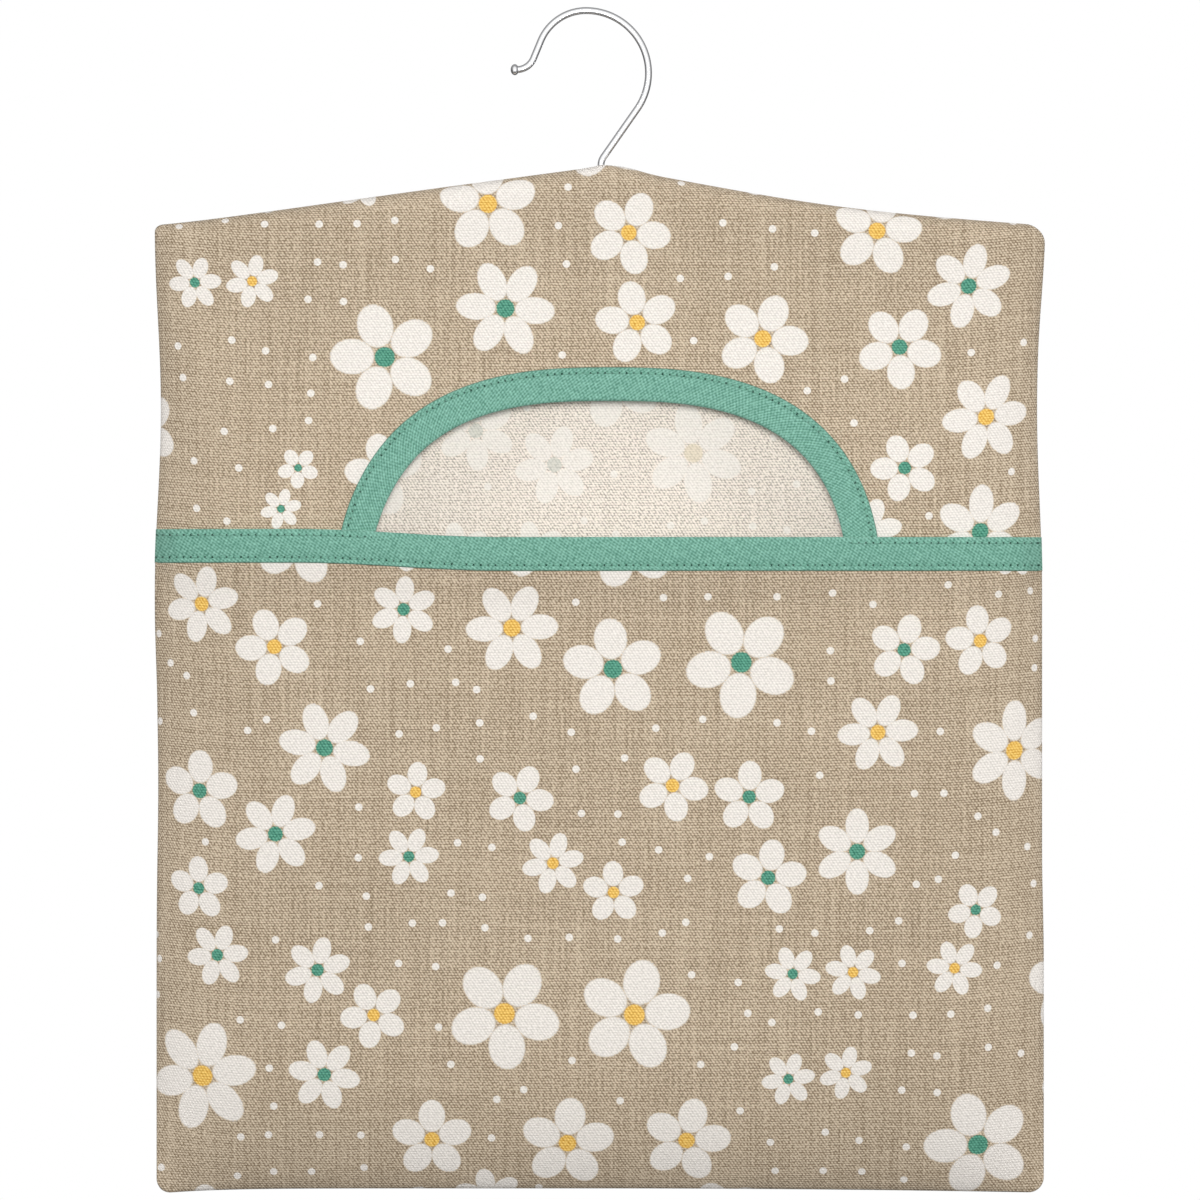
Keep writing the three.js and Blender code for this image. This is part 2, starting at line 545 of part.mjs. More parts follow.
const cloth = new THREE.Group();
cloth.add(
  piece("back_panel", makeBackPanel(), "print"),
  piece("upper_front_panel", makeUpperFront(), "print"),
  piece("lower_front_panel", makeLowerFront(), "print"),
  piece("mouth_binding", makeMouthBinding(), "tape"),
  piece("crossbar_binding", makeCrossbarBinding(), "tape"),
);

const sewing = new THREE.Group();
const innerArch = ARCH_HALF_WIDTH - BINDING_WIDTH;
const rowEnd = HALF_WIDTH - 2 * SEAM_INSET;
const lowerRow = STITCH_INSET - BINDING_WIDTH;
sewing.add(
  piece("bottom_seam", makeBottomSeam(), "overlock"),
  piece("mouth_stitching", makeMouthStitching(), "thread"),
  piece("crossbar_lower_stitching", makeBarStitching(lowerRow, -rowEnd, rowEnd), "thread"),
);
for (const [name, side] of [["left", -1], ["right", 1]]) {
  const ends = [side * rowEnd, MOUTH_OFFSET + side * innerArch].sort((a, b) => a - b);
  sewing.add(
    piece(`${name}_side_seam`, makeSideSeam(side), "overlock"),
    piece(`top_${name}_seam`, makeTopSeam(side), "overlock"),
    piece(`${name}_lap_overlock`, makeLapOverlock(side), "overlock"),
    piece(`crossbar_upper_${name}_stitching`, makeBarStitching(-STITCH_INSET, ...ends), "thread"),
  );
}

const pegBag = new THREE.Group();
pegBag.add(piece("hook", makeHook(), "steel"), hanger, cloth, sewing);

export default pegBag;
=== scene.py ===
import math

import bpy
import numpy as np
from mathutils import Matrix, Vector


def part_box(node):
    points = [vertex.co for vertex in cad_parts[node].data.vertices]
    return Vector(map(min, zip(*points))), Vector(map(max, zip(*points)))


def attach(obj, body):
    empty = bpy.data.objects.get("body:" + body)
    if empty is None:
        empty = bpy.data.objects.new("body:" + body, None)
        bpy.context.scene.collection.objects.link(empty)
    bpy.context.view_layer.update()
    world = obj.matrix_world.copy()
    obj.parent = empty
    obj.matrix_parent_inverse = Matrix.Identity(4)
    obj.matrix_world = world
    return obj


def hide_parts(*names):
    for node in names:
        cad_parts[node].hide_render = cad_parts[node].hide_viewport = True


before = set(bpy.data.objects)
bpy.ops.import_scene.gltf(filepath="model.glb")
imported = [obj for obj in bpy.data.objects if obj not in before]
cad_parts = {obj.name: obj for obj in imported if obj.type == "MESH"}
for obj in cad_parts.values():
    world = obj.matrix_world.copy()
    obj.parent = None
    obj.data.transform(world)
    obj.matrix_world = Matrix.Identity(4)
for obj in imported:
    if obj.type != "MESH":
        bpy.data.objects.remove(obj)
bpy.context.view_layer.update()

# Places taken from the frame, in metres
MM = 0.001
back_low, back_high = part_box("back_panel")
hanger_low, hanger_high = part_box("hanger_bar")
bar_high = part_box("crossbar_binding")[1]
arch_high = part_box("mouth_binding")[1]
hook_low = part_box("hook")[0]
washer_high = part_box("swivel_washer")[1]

# Outline of the bag as it hangs empty; heights are over the bottom, and left is the photograph's left
HALF_WIDTH = (back_high.x - back_low.x) / 2
BOTTOM = back_low.z
HANGER_COVER = 3.5 * MM
PEAK = hanger_high.z + HANGER_COVER
SHOULDER_DROP = 21.2 * MM
SHOULDER_POWER = 1.25
CORNER = PEAK - SHOULDER_DROP
TOP_LEAN = 1.45 * MM
CREST = 1.1 * MM
CREST_X = 8 * MM
TOP_LEFT_RADIUS = 2.5 * MM
TOP_RIGHT_RADIUS = 7 * MM
BOTTOM_RADIUS = 5.6 * MM
LEFT_SAG = 1.9 * MM
LEFT_SAG_POWER = 8
RIGHT_SAG = 1.5 * MM
RIGHT_SAG_POWER = 2
LEFT_WAIST = 2.2 * MM
LEFT_SWELL = 0.65 * MM
LEFT_SWELL_HEIGHTS = (175 * MM, 210 * MM)
LEFT_DIP = 0.6 * MM
LEFT_DIP_HEIGHT = 145 * MM
LEFT_DIP_REACH = 32 * MM
RIGHT_WAIST = 1.8 * MM
RIGHT_DRAW = 1.2 * MM
RIGHT_DRAW_TOP = (352 * MM, 300 * MM)
RIGHT_DRAW_FOOT = (122 * MM, 82 * MM)
RIGHT_FOOT_SHARE = 0.5

# Mouth and crossbar
TAPE_WIDTH = 12.2 * MM
BAR_RISE = 2.9 * MM
RISE_FROM = -108 * MM
RISE_TO = -36 * MM
BAR_TOP = bar_high.z - BAR_RISE
BAR_BOTTOM = BAR_TOP - TAPE_WIDTH
WAIST_DROP = 8 * MM
WAIST_LOW = BAR_BOTTOM - WAIST_DROP
LAP_TUCK = 1.5 * MM
LAP_EDGE = BAR_BOTTOM + LAP_TUCK
LAP_RAMP = 14 * MM
MOUTH_X = 3.3 * MM
ARCH_HALF_WIDTH = 97.6 * MM
ARCH_HEIGHT = 89 * MM
ARCH_POWER = 2.63
ARCH_BASE = arch_high.z - ARCH_HEIGHT
LEFT_FLARE = 1.3 * MM
FLARE_HEIGHT = 45 * MM
MOUTH_LEFT = MOUTH_X - ARCH_HALF_WIDTH + TAPE_WIDTH
MOUTH_RIGHT = MOUTH_X + ARCH_HALF_WIDTH - TAPE_WIDTH

# Cloth layers, and the shares that are left of them where they are pressed beside the side seams
CLOTH = 0.6 * MM
TAPE = 0.85 * MM
LAP = 2.5 * MM
SEAM_FACE = 0.1 * MM
EDGE_ROLL = 0.8 * MM
TAPE_ROLL = 1.2 * MM
TAPE_COVER = 0.15 * MM
EDGE_TUCK = 1.6 * MM
SQUEEZE_REACH = 9 * MM
LAP_LEAST = 0.25
RAMP_LEAST = 0.1
TAPE_LEAST = 0.65
TAPE_END = 0.1

# How the cloth stands open between its seams
HANGER_HALF = (hanger_high.y - hanger_low.y) / 2
HANGER_INSIDE = HANGER_HALF + 0.4 * MM
FRONT_BULGE = 14 * MM
FRONT_REST = 5 * MM
TOP_ROUND = 8 * MM
SIDE_REACH = 45 * MM
SIDE_REACH_TOP = 14 * MM
REACH_DROP = 10 * MM
BOTTOM_REACH = 60 * MM
CLOSING_POWER = 0.7
HOOK_GAP = 1.4 * MM
NECK_WIDTH = 2.6 * MM
NECK_DEPTH = 2 * MM

# Slack: the back's main sag behind the mouth, and waves and puckers in all panels
BACK_SLACK = 5 * MM
SLACK_START = 2 * MM
SLACK_FULL = 40 * MM
SLACK_HALF_WIDTH = 115 * MM
SLACK_RISE = 12 * MM
SLACK_HALF_HEIGHT = 70 * MM
SLACK_POWER = 4
BACK_CREASES = 0.6
BACK_SEED = 11
FRONT_SEED = 5
HANGER_CALM = 0.85
CALM_RISE = 40 * MM
BROAD_WAVE = 1.1 * MM
BROAD_CELL = 75 * MM
BROAD_STRETCH = 0.55
FINE_WAVE = 0.45 * MM
FINE_CELL = 34 * MM
PUCKER = 0.5 * MM
PUCKER_CELL = 8 * MM
PUCKER_REACH = 9 * MM
NOISE_SIZE = 64
NOISE_START = (31.3, 47.7)

# Sewing
STITCH_INSET = 2.1 * MM
STITCH_PITCH = 2.6 * MM
STITCH_LENGTH = 2.0 * MM
THREAD_RADIUS = 0.24 * MM
SEAM_ALLOWANCE = 10 * MM

# Where the photograph stands: the size of its pixel and the pixel of the hang point
PIXEL = 0.36 * MM
PHOTO_MIDDLE = 600
HANG_PIXEL = (601, 16)


# Plain functions
def ease(t, start, end):
    """A smooth step from 0 at start to 1 at end."""
    s = np.clip((t - start) / (end - start), 0, 1)
    return s * s * (3 - 2 * s)


def bell(t, middle, reach, power=2):
    return np.exp(-(((t - middle) / reach) ** power))


def rounded(share):
    """A quarter circle, from 0 at 0, where it is upright, to 1 at 1."""
    return np.sqrt(1 - (1 - np.clip(share, 0, 1)) ** 2)


def closing(share):
    return (1 - (1 - np.clip(share, 0, 1)) ** 2) ** CLOSING_POWER


def by_side(x, left, right):
    return np.where(np.asarray(x) < 0, left, right)


def soft_noise(x, z, cell, seed):
    """Smooth noise from -1 to 1 over the plane, with bumps about one cell across."""
    lattice = np.random.default_rng(seed).uniform(-1, 1, (NOISE_SIZE, NOISE_SIZE))
    gx, gz = np.asarray(x) / cell + NOISE_START[0], np.asarray(z) / cell + NOISE_START[1]
    ix, iz = np.floor(gx).astype(int), np.floor(gz).astype(int)
    fx, fz = ease(gx - ix, 0, 1), ease(gz - iz, 0, 1)
    at = lambda i, j: lattice[i % NOISE_SIZE, j % NOISE_SIZE]
    low = at(ix, iz) * (1 - fx) + at(ix + 1, iz) * fx
    high = at(ix, iz + 1) * (1 - fx) + at(ix + 1, iz + 1) * fx
    return low * (1 - fz) + high * fz


# Edges of the bag
def width_share(x):
    return np.clip(np.abs(x) / HALF_WIDTH, 0, 1)


def shoulder_line(x):
    return PEAK - SHOULDER_DROP * (1 - (1 - width_share(x)) ** SHOULDER_POWER)


def top_edge(x):
    """The sewn top edge. It sits a little higher on the left shoulder, and is rounded beside the hook."""
    bow = np.sin(np.pi * width_share(x))
    lean = TOP_LEAN * by_side(x, bow, -(bow**2))
    return shoulder_line(x) + lean + CREST * bell(x, CREST_X, CREST_X)


def bottom_edge(x):
    share = width_share(x)
    return BOTTOM - by_side(x, LEFT_SAG * share**LEFT_SAG_POWER, RIGHT_SAG * share**RIGHT_SAG_POWER)


def top_radius(x):
    return by_side(x, TOP_LEFT_RADIUS, TOP_RIGHT_RADIUS)


def half_width(x, z):
    """Distance of the side edge on the side of x. Both sides are drawn in a little beside the mouth."""
    waist = np.sin(np.pi * np.clip((CORNER - z) / (CORNER - WAIST_LOW), 0, 1)) ** 2
    height = z - BOTTOM
    swell = LEFT_SWELL * ease(height, *LEFT_SWELL_HEIGHTS)
    dip = LEFT_DIP * bell(height, LEFT_DIP_HEIGHT, LEFT_DIP_REACH)
    draw = ease(height, *RIGHT_DRAW_TOP) * (1 - RIGHT_FOOT_SHARE * ease(height, *RIGHT_DRAW_FOOT))
    left = HALF_WIDTH - LEFT_WAIST * waist + (swell - dip)
    right = HALF_WIDTH - RIGHT_WAIST * waist - RIGHT_DRAW * draw
    return by_side(x, left, right)


def side_distance(x, z):
    return half_width(x, z) - np.abs(x)


def bar_rise(x):
    """The crossbar runs a little higher at its left end."""
    return BAR_RISE * (1 - ease(x, RISE_FROM, RISE_TO))


def pocket_top(x):
    """Top edge of the pocket's cloth, inside the folded crossbar tape."""
    return BAR_TOP + bar_rise(x) - EDGE_TUCK


# Depth of each cloth's inner face, out from the middle of the bag
def openness(x, z):
    """How open the bag is, from 0 on the seams to 1 in the middle."""
    upper = ease(z, BAR_TOP, hanger_low.z - REACH_DROP)
    reach = SIDE_REACH + (SIDE_REACH_TOP - SIDE_REACH) * upper
    side = closing(side_distance(x, z) / reach)
    bottom = closing((z - bottom_edge(x)) / BOTTOM_REACH)
    return side * bottom * rounded((top_edge(x) - z) / TOP_ROUND)


def creases(x, z, seed):
    """Slack in the hanging cloth: broad waves, fainter over the hanger, and puckers beside the seams."""
    hung = 1 - HANGER_CALM * ease(z, BAR_TOP + CALM_RISE, hanger_low.z)
    broad = BROAD_WAVE * soft_noise(x, z * BROAD_STRETCH, BROAD_CELL, seed)
    fine = FINE_WAVE * soft_noise(x, z, FINE_CELL, seed + 1)
    edge = np.minimum(side_distance(x, z), z - bottom_edge(x))
    pucker = np.exp(-np.clip(edge, 0, 1) / PUCKER_REACH) * soft_noise(x, z, PUCKER_CELL, seed + 2)
    return hung * (broad + fine) + PUCKER * pucker


def between_seams(depth, x, z):
    """A depth that closes towards the seams and parts at the top round the hook's shank."""
    neck = HOOK_GAP * bell(x, 0, NECK_WIDTH) * np.exp(-(top_edge(x) - z) / NECK_DEPTH)
    return SEAM_FACE + (depth - SEAM_FACE) * openness(x, z) + neck


def back_inside(x, z):
    """The back cloth hangs slack, so below the hanger it comes forward behind the mouth."""
    below = ease(z, hanger_low.z - SLACK_START, hanger_low.z - SLACK_FULL)
    across = bell(x, MOUTH_X, SLACK_HALF_WIDTH, SLACK_POWER)
    upright = bell(z, BAR_TOP + SLACK_RISE, SLACK_HALF_HEIGHT, SLACK_POWER)
    slack = BACK_SLACK * below * across * upright
    return between_seams(HANGER_INSIDE + BACK_CREASES * creases(x, z, BACK_SEED) - slack, x, z)


def front_inside(x, z):
    """The front lies over the hanger and bulges below it."""
    bulge = 1 - ease(z, BAR_TOP, hanger_low.z + FRONT_REST)
    depth = HANGER_INSIDE + (FRONT_BULGE - HANGER_INSIDE) * bulge + creases(x, z, FRONT_SEED)
    return between_seams(depth, x, z)


def squeeze(x, z, least):
    """Layers press together towards the side seams."""
    return least + (1 - least) * ease(side_distance(x, z), 0, SQUEEZE_REACH)


def flatten(x, z):
    """The tape is pressed flatter towards its ends, which close where the side seams hold them."""
    end = TAPE_END + (1 - TAPE_END) * rounded(side_distance(x, z) / TAPE_ROLL)
    return squeeze(x, z, TAPE_LEAST) * end


def lower_inside(x, z):
    """The pocket's front, which laps over the lower edge of the upper front."""
    beside = squeeze(x, z, RAMP_LEAST)
    end = BAR_BOTTOM + (LAP_EDGE - BAR_BOTTOM) * (1 - beside)
    ramp = ease(z - bar_rise(x), end - LAP_RAMP * beside, end)
    return front_inside(x, z) + LAP * ramp * squeeze(x, z, LAP_LEAST)


# Rounded corners and rolled edges
def soften(a, b, radius):
    """Rounds a corner: distances a and b from its two edges, mapped so that the edges meet in an arc."""
    i, j = np.clip(1 - a / radius, 0, 1), np.clip(1 - b / radius, 0, 1)
    inside = (i > 0) & (j > 0)
    new_a = np.where(inside, radius * (1 - i * np.sqrt(1 - j * j / 2)), a)
    new_b = np.where(inside, radius * (1 - j * np.sqrt(1 - i * i / 2)), b)
    return new_a, new_b


def edge_distance(a, b, radius):
    """Distance from the nearer of two edges that meet in an arc."""
    from_arc = radius - np.hypot(radius - a, radius - b)
    return np.where((a < radius) & (b < radius), from_arc, np.minimum(a, b))


def round_corners(x, z):
    side = by_side(x, -1, 1)
    half = half_width(x, z)
    low = bottom_edge(x)
    a, b = soften(half - np.abs(x), z - low, BOTTOM_RADIUS)
    x, z = side * (half - a), low + b
    top = top_edge(x)
    a, h = soften(half - np.abs(x), top - z, top_radius(x))
    return side * (half - a), top - h


def rolled(x, z):
    """Thickness of the cloth, rolled to nothing on the seams."""
    a = side_distance(x, z)
    bottom = edge_distance(a, z - bottom_edge(x), BOTTOM_RADIUS)
    top = edge_distance(a, top_edge(x) - z, top_radius(x))
    return CLOTH * rounded(np.minimum(bottom, top) / EDGE_ROLL)


# Mesh helpers
LEAST_THICKNESS = 1e-7
NEARLY_PARALLEL = 1e-3
FLAT_COLUMNS = 641
FLAT_ROWS = 737
LAST_CELL = 1.001


def mesh_object(name, points, faces, materials=(), flat=None, slots=None):
    """A smooth mesh in the scene. flat gives each point's place on the cloth, slots each face's material."""
    mesh = bpy.data.meshes.new(name)
    mesh.from_pydata([tuple(p) for p in points], [], [tuple(int(i) for i in f) for f in faces])
    for material in materials:
        mesh.materials.append(material)
    if slots is not None:
        mesh.polygons.foreach_set("material_index", np.asarray(slots, np.int32))
    if flat is not None:
        layer = mesh.uv_layers.new(name="cloth")
        corner = np.empty(len(mesh.loops), np.int32)
        mesh.loops.foreach_get("vertex_index", corner)
        layer.uv.foreach_set("vector", np.asarray(flat, np.float32)[corner].ravel())
    mesh.shade_smooth()
    mesh.validate()
    piece = bpy.data.objects.new(name, mesh)
    bpy.context.scene.collection.objects.link(piece)
    return piece


def dress(piece, node, body="bag"):
    """A finished piece: it rides on its body and stands for its CAD node."""
    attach(piece, body)
    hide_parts(node)
    return piece


def quads(index):
    """Faces of a grid of vertex numbers, as an array of four columns."""
    a, b = index[:-1, :-1], index[:-1, 1:]
    c, d = index[1:, 1:], index[1:, :-1]
    return np.stack([a, b, c, d], -1).reshape(-1, 4)


def sweep_faces(index):
    """Faces of a closed section swept along rows of vertex numbers, with a cap on each end."""
    sides = quads(np.hstack([index, index[:, :1]])).tolist()
    return sides + [index[0][::-1].tolist(), index[-1].tolist()]


def tube(points, radius, sides):
    """Points and faces of a round tube along a polyline; radius may vary along it."""
    points = np.asarray(points, float)
    along = np.gradient(points, axis=0)
    along /= np.linalg.norm(along, axis=1, keepdims=True)
    first = np.cross(along, [0, 1, 0])
    weak = np.linalg.norm(first, axis=1) < NEARLY_PARALLEL
    first[weak] = np.cross(along[weak], [1, 0, 0])
    first /= np.linalg.norm(first, axis=1, keepdims=True)
    second = np.cross(along, first)
    angle = np.linspace(0, 2 * np.pi, sides, endpoint=False)
    radius = np.broadcast_to(radius, len(points))[:, None, None]
    ring = np.cos(angle)[None, :, None] * first[:, None] + np.sin(angle)[None, :, None] * second[:, None]
    verts = (points[:, None] + radius * ring).reshape(-1, 3)
    return verts, sweep_faces(np.arange(len(verts)).reshape(len(points), sides))


def joined(parts):
    """Several (points, faces) as one."""
    points, faces, start = [], [], 0
    for p, f in parts:
        points.append(p)
        faces += [[i + start for i in face] for face in f]
        start += len(p)
    return np.vstack(points), faces


class FlatMap:
    """Distances over a cloth's surface, so that print and weave keep their size where the cloth turns."""

    def __init__(self, depth):
        self.xs = np.linspace(-HALF_WIDTH, HALF_WIDTH, FLAT_COLUMNS)
        self.zs = np.linspace(BOTTOM - LEFT_SAG, PEAK + CREST, FLAT_ROWS)
        grid_x, grid_z = np.meshgrid(self.xs, self.zs)
        y = depth(grid_x, grid_z)
        across = np.cumsum(np.hypot(np.diff(grid_x, axis=1), np.diff(y, axis=1)), axis=1)
        up = np.cumsum(np.hypot(np.diff(grid_z, axis=0), np.diff(y, axis=0)), axis=0)
        self.u = np.pad(across, ((0, 0), (1, 0)))
        self.u -= self.u[:, [FLAT_COLUMNS // 2]]
        self.v = np.pad(up, ((1, 0), (0, 0)))

    def __call__(self, x, z):
        i = np.clip((x - self.xs[0]) / (self.xs[1] - self.xs[0]), 0, FLAT_COLUMNS - LAST_CELL)
        j = np.clip((z - self.zs[0]) / (self.zs[1] - self.zs[0]), 0, FLAT_ROWS - LAST_CELL)
        i0, j0 = i.astype(int), j.astype(int)
        fi, fj = i - i0, j - j0

        def pick(table):
            low = table[j0, i0] * (1 - fi) + table[j0, i0 + 1] * fi
            high = table[j0 + 1, i0] * (1 - fi) + table[j0 + 1, i0 + 1] * fi
            return low * (1 - fj) + high * fj

        return np.stack([pick(self.u), pick(self.v)], -1)


def cloth_shell(name, x, z, inside, thick, side, flat, materials):
    """A panel with an outer face, an inner face and a rim, from a grid of places and depths."""
    rows, columns = x.shape
    outer = np.arange(rows * columns).reshape(rows, columns)
    inner = np.where(thick > LEAST_THICKNESS, outer + rows * columns, outer)
    out_points = np.stack([x, side * (inside + thick), z], -1).reshape(-1, 3)
    in_points = np.stack([x, side * inside, z], -1).reshape(-1, 3)
    points = np.vstack([out_points, in_points])
    faces_out, faces_in = quads(outer), quads(inner)
    # Where the cloth has no thickness both faces are one, and only the outer is kept
    faces_in = faces_in[(faces_in != faces_out).any(1)]
    ring = lambda t: np.concatenate([t[0], t[1:, -1], t[-1, -2::-1], t[-2:0:-1, 0]])
    rim_out, rim_in = ring(outer), ring(inner)
    rim = np.stack([rim_out, rim_in, np.roll(rim_in, -1), np.roll(rim_out, -1)], -1)
    if side < 0:
        faces_in = faces_in[:, ::-1]
    else:
        faces_out, rim = faces_out[:, ::-1], rim[:, ::-1]
    faces = [list(dict.fromkeys(f)) for f in np.vstack([faces_out, faces_in, rim]).tolist()]
    slots = np.repeat([0, 1, 1], [len(faces_out), len(faces_in), len(rim)])
    kept = [k for k, f in enumerate(faces) if len(f) > 2]
    used = np.unique(np.concatenate([faces[k] for k in kept]))
    number = np.full(len(points), -1)
    number[used] = np.arange(len(used))
    uv = np.vstack([flat.reshape(-1, 2)] * 2)
    faces = [[number[i] for i in faces[k]] for k in kept]
    return mesh_object(name, points[used], faces, materials, uv[used], slots[kept])


# Node helpers
class Value:
    """One output of a node. Arithmetic with it makes Math nodes."""

    def __init__(self, nodes, socket):
        self.nodes = nodes
        self.socket = socket

    def __add__(self, other):
        return self.nodes.math("ADD", self, other)

    def __sub__(self, other):
        return self.nodes.math("SUBTRACT", self, other)

    def __rsub__(self, other):
        return self.nodes.math("SUBTRACT", other, self)

    def __mul__(self, other):
        return self.nodes.math("MULTIPLY", self, other)

    def __truediv__(self, other):
        return self.nodes.math("DIVIDE", self, other)

    def __rtruediv__(self, other):
        return self.nodes.math("DIVIDE", other, self)

    def __pow__(self, other):
        return self.nodes.math("POWER", self, other)


class Nodes:
    """A node tree, with short calls for the nodes that are used here."""

    def __init__(self, tree):
        self.tree = tree

    def put(self, socket, value):
        if isinstance(value, Value):
            self.tree.links.new(value.socket, socket)
        else:
            socket.default_value = value

    def node(self, kind, inputs=None, **settings):
        node = self.tree.nodes.new("ShaderNode" + kind)
        for key, value in settings.items():
            setattr(node, key, value)
        for key, value in (inputs or {}).items():
            self.put(node.inputs[key], value)
        return node

    def read(self, node, output=0):
        return Value(self, node.outputs[output])

    def value(self, kind, inputs=None, output=0, **settings):
        return self.read(self.node(kind, inputs, **settings), output)

    def math(self, operation, *values):
        return self.value("Math", dict(enumerate(values)), operation=operation)

    def most(self, value, *others):
        for other in others:
            value = self.math("MAXIMUM", value, other)
        return value

    def length(self, x, y):
        return self.math("SQRT", x**2.0 + y**2.0)

    def point(self, x, y, z=0.0):
        return self.value("CombineXYZ", {"X": x, "Y": y, "Z": z})

    def parts(self, value, kind="SeparateXYZ"):
        node = self.node(kind, {0: value})
        return [self.read(node, k) for k in range(3)]

    def step(self, value, start, end):
        """A smooth step from 0 at start to 1 at end."""
        inputs = {"Value": value, "From Min": start, "From Max": end}
        return self.value("MapRange", inputs, interpolation_type="SMOOTHSTEP")

    def scale(self, value, start, end, low, high):
        """A straight change from low at start to high at end."""
        inputs = {"Value": value, "From Min": start, "From Max": end, "To Min": low, "To Max": high}
        return self.value("MapRange", inputs)

    def mix(self, factor, a, b):
        return self.value("Mix", {0: factor, 6: a, 7: b}, 2, data_type="RGBA")

    def noise(self, vector, scale=1.0, detail=2.0):
        return self.value("TexNoise", {"Vector": vector, "Scale": scale, "Detail": detail}, "Fac")

    def sway(self, vector, most):
        """A plain noise about zero."""
        return (self.noise(vector, detail=1.0) - 0.5) * most


class Surface(Nodes):
    """A material: the nodes round its shader, whose plain values are named when it is made."""

    def __init__(self, name, **shader):
        self.material = bpy.data.materials.new(name)
        self.material.use_nodes = True
        super().__init__(self.material.node_tree)
        self.shader = self.tree.nodes["Principled BSDF"]
        for key, value in shader.items():
            self.shader.inputs[key.replace("_", " ").title().replace("Ior", "IOR")].default_value = value

    def cloth(self):
        return self.value("UVMap", uv_map="cloth")

    def place(self):
        return self.value("TexCoord", output="Object")

    def finish(self, colour, height=None, relief=0.0, strength=0.0):
        self.put(self.shader.inputs["Base Color"], colour)
        if height is not None:
            inputs = {"Height": height, "Distance": relief, "Strength": strength}
            self.put(self.shader.inputs["Normal"], self.value("Bump", inputs))
        return self.material


def rgb(red, green, blue):
    """A display colour, 0 to 255, as the linear colour that the shader takes."""
    linear = [((v / 255 + 0.055) / 1.055) ** 2.4 for v in (red, green, blue)]
    return (*linear, 1.0)


def grey(level):
    return (level, level, level, 1.0)


# Cotton: lengths over the cloth, turns of the weave's phase in radians, and shares of tone
WARP_PITCH = 0.6 * MM
WEFT_PITCH = 0.918 * MM
WARP_WANDER = (18 * MM, 9 * MM, 5.0)
WEFT_WANDER = (40 * MM, 6 * MM, 2.5)
WANDER_LAYER = 3.0
BACK_LEAN = 0.43
FUZZ_LENGTH = 1.1 * MM
FUZZ_WIDTH = 0.8 * MM
FUZZ = 3.2
SLUB_LENGTH = 40 * MM
SLUB_STEP = 3.7
SLUB_LAYER = 7.0
WEFT_SLUBS = 0.54
WARP_SLUBS = 0.84
YARN_TONE = 0.95
PATCH_TONE = 0.1
PATCH_SCALE = 14.0
PAINT_WEAVE_SHADE = 0.44
RAGGED = 0.06
THREAD_RELIEF = 0.12 * MM

# Each side of the cotton: floats, rows, shares of threads and yarn in its tone, and the tone's start. The
# threads' share is painted shade in the weave's gaps and painted highlight on its threads
RIGHT_TONES = (0.54, 0.55, 0.58, 1.0, -0.22)
WRONG_TONES = (0.52, 0.5, 0.72, 0.6, 0.3)
PAINT_THROUGH = 0.8
MIDDLE_THROUGH = 0.6

# Print of blossoms and dots: sizes over the cloth, and shares of a blossom's radius or a dot's cell
BLOSSOM_CELL = 42 * MM
BLOSSOM_SCATTER = 0.74
BLOSSOM_ROOM = 0.93
BLOSSOM_LARGEST = 20 * MM
BLOSSOM_TURN = 6.28
FEWEST_PETALS = 5.0
SIX_PETALLED = 0.5
PETAL_MIDDLE = 0.6
PETAL_HALF = 0.4
PETAL_SPREAD = 1.62
PETAL_EDGE = (1.1, 0.9)
MIDDLE_EDGE = (0.2, 0.17)
MIDDLE_RAGGED = 0.1
GREEN_SHARE = 0.42
DOT_CELL = 15 * MM
DOT_SCATTER = 0.6
DOT_EDGE = (0.1, 0.08)
DOT_CLEARANCE = 4.5 * MM


def fuzz(s, u, v):
    """Loose fibres and uneven twist, as a fine noise about zero."""
    return s.sway(s.point(u / FUZZ_LENGTH, v / FUZZ_WIDTH), FUZZ)


def wander(s, u, v, length, width, most):
    """A slow drift of the threads from their straight lines, in radians of the weave's phase."""
    return s.sway(s.point(u / length, v / width, WANDER_LAYER), most)


def weave(s, u, v, floats, rows):
    """Plain weave of fine warp and thick weft with leaning floats: below 0 in gaps, above 0 on threads."""
    across = u * (math.pi / WARP_PITCH) + wander(s, u, v, *WARP_WANDER)
    up = v * (math.pi / WEFT_PITCH) + wander(s, u, v, *WEFT_WANDER)
    lean = s.math("COSINE", across + up)
    back = s.math("COSINE", across - up)
    lines = s.math("COSINE", up * 2.0)
    crossing = back * (BACK_LEAN * floats) - lean * floats
    return crossing - lines * rows + fuzz(s, u, v)


def slubs(s, u, v):
    """Uneven yarn: every thread has its own tone, which changes slowly along it."""
    row = s.math("FLOOR", v / WEFT_PITCH) * SLUB_STEP
    column = s.math("FLOOR", u / WARP_PITCH) * SLUB_STEP
    along = s.noise(s.point(u / SLUB_LENGTH, row), detail=1.0)
    upward = s.noise(s.point(column, v / SLUB_LENGTH, SLUB_LAYER), detail=1.0)
    return along * WEFT_SLUBS + upward * WARP_SLUBS


def seats(s, place, cell, scatter, feature="F1"):
    """Scattered seats of a print, about one cell apart."""
    inputs = {"Vector": place, "Scale": 1 / cell, "Randomness": scatter}
    return s.node("TexVoronoi", inputs, voronoi_dimensions="2D", feature=feature)


def blossom_seats(s, place):
    """The nearest blossom's seat, and the room round it in cells."""
    room = seats(s, place, BLOSSOM_CELL, BLOSSOM_SCATTER, "N_SPHERE_RADIUS")
    return seats(s, place, BLOSSOM_CELL, BLOSSOM_SCATTER), s.read(room, "Radius")


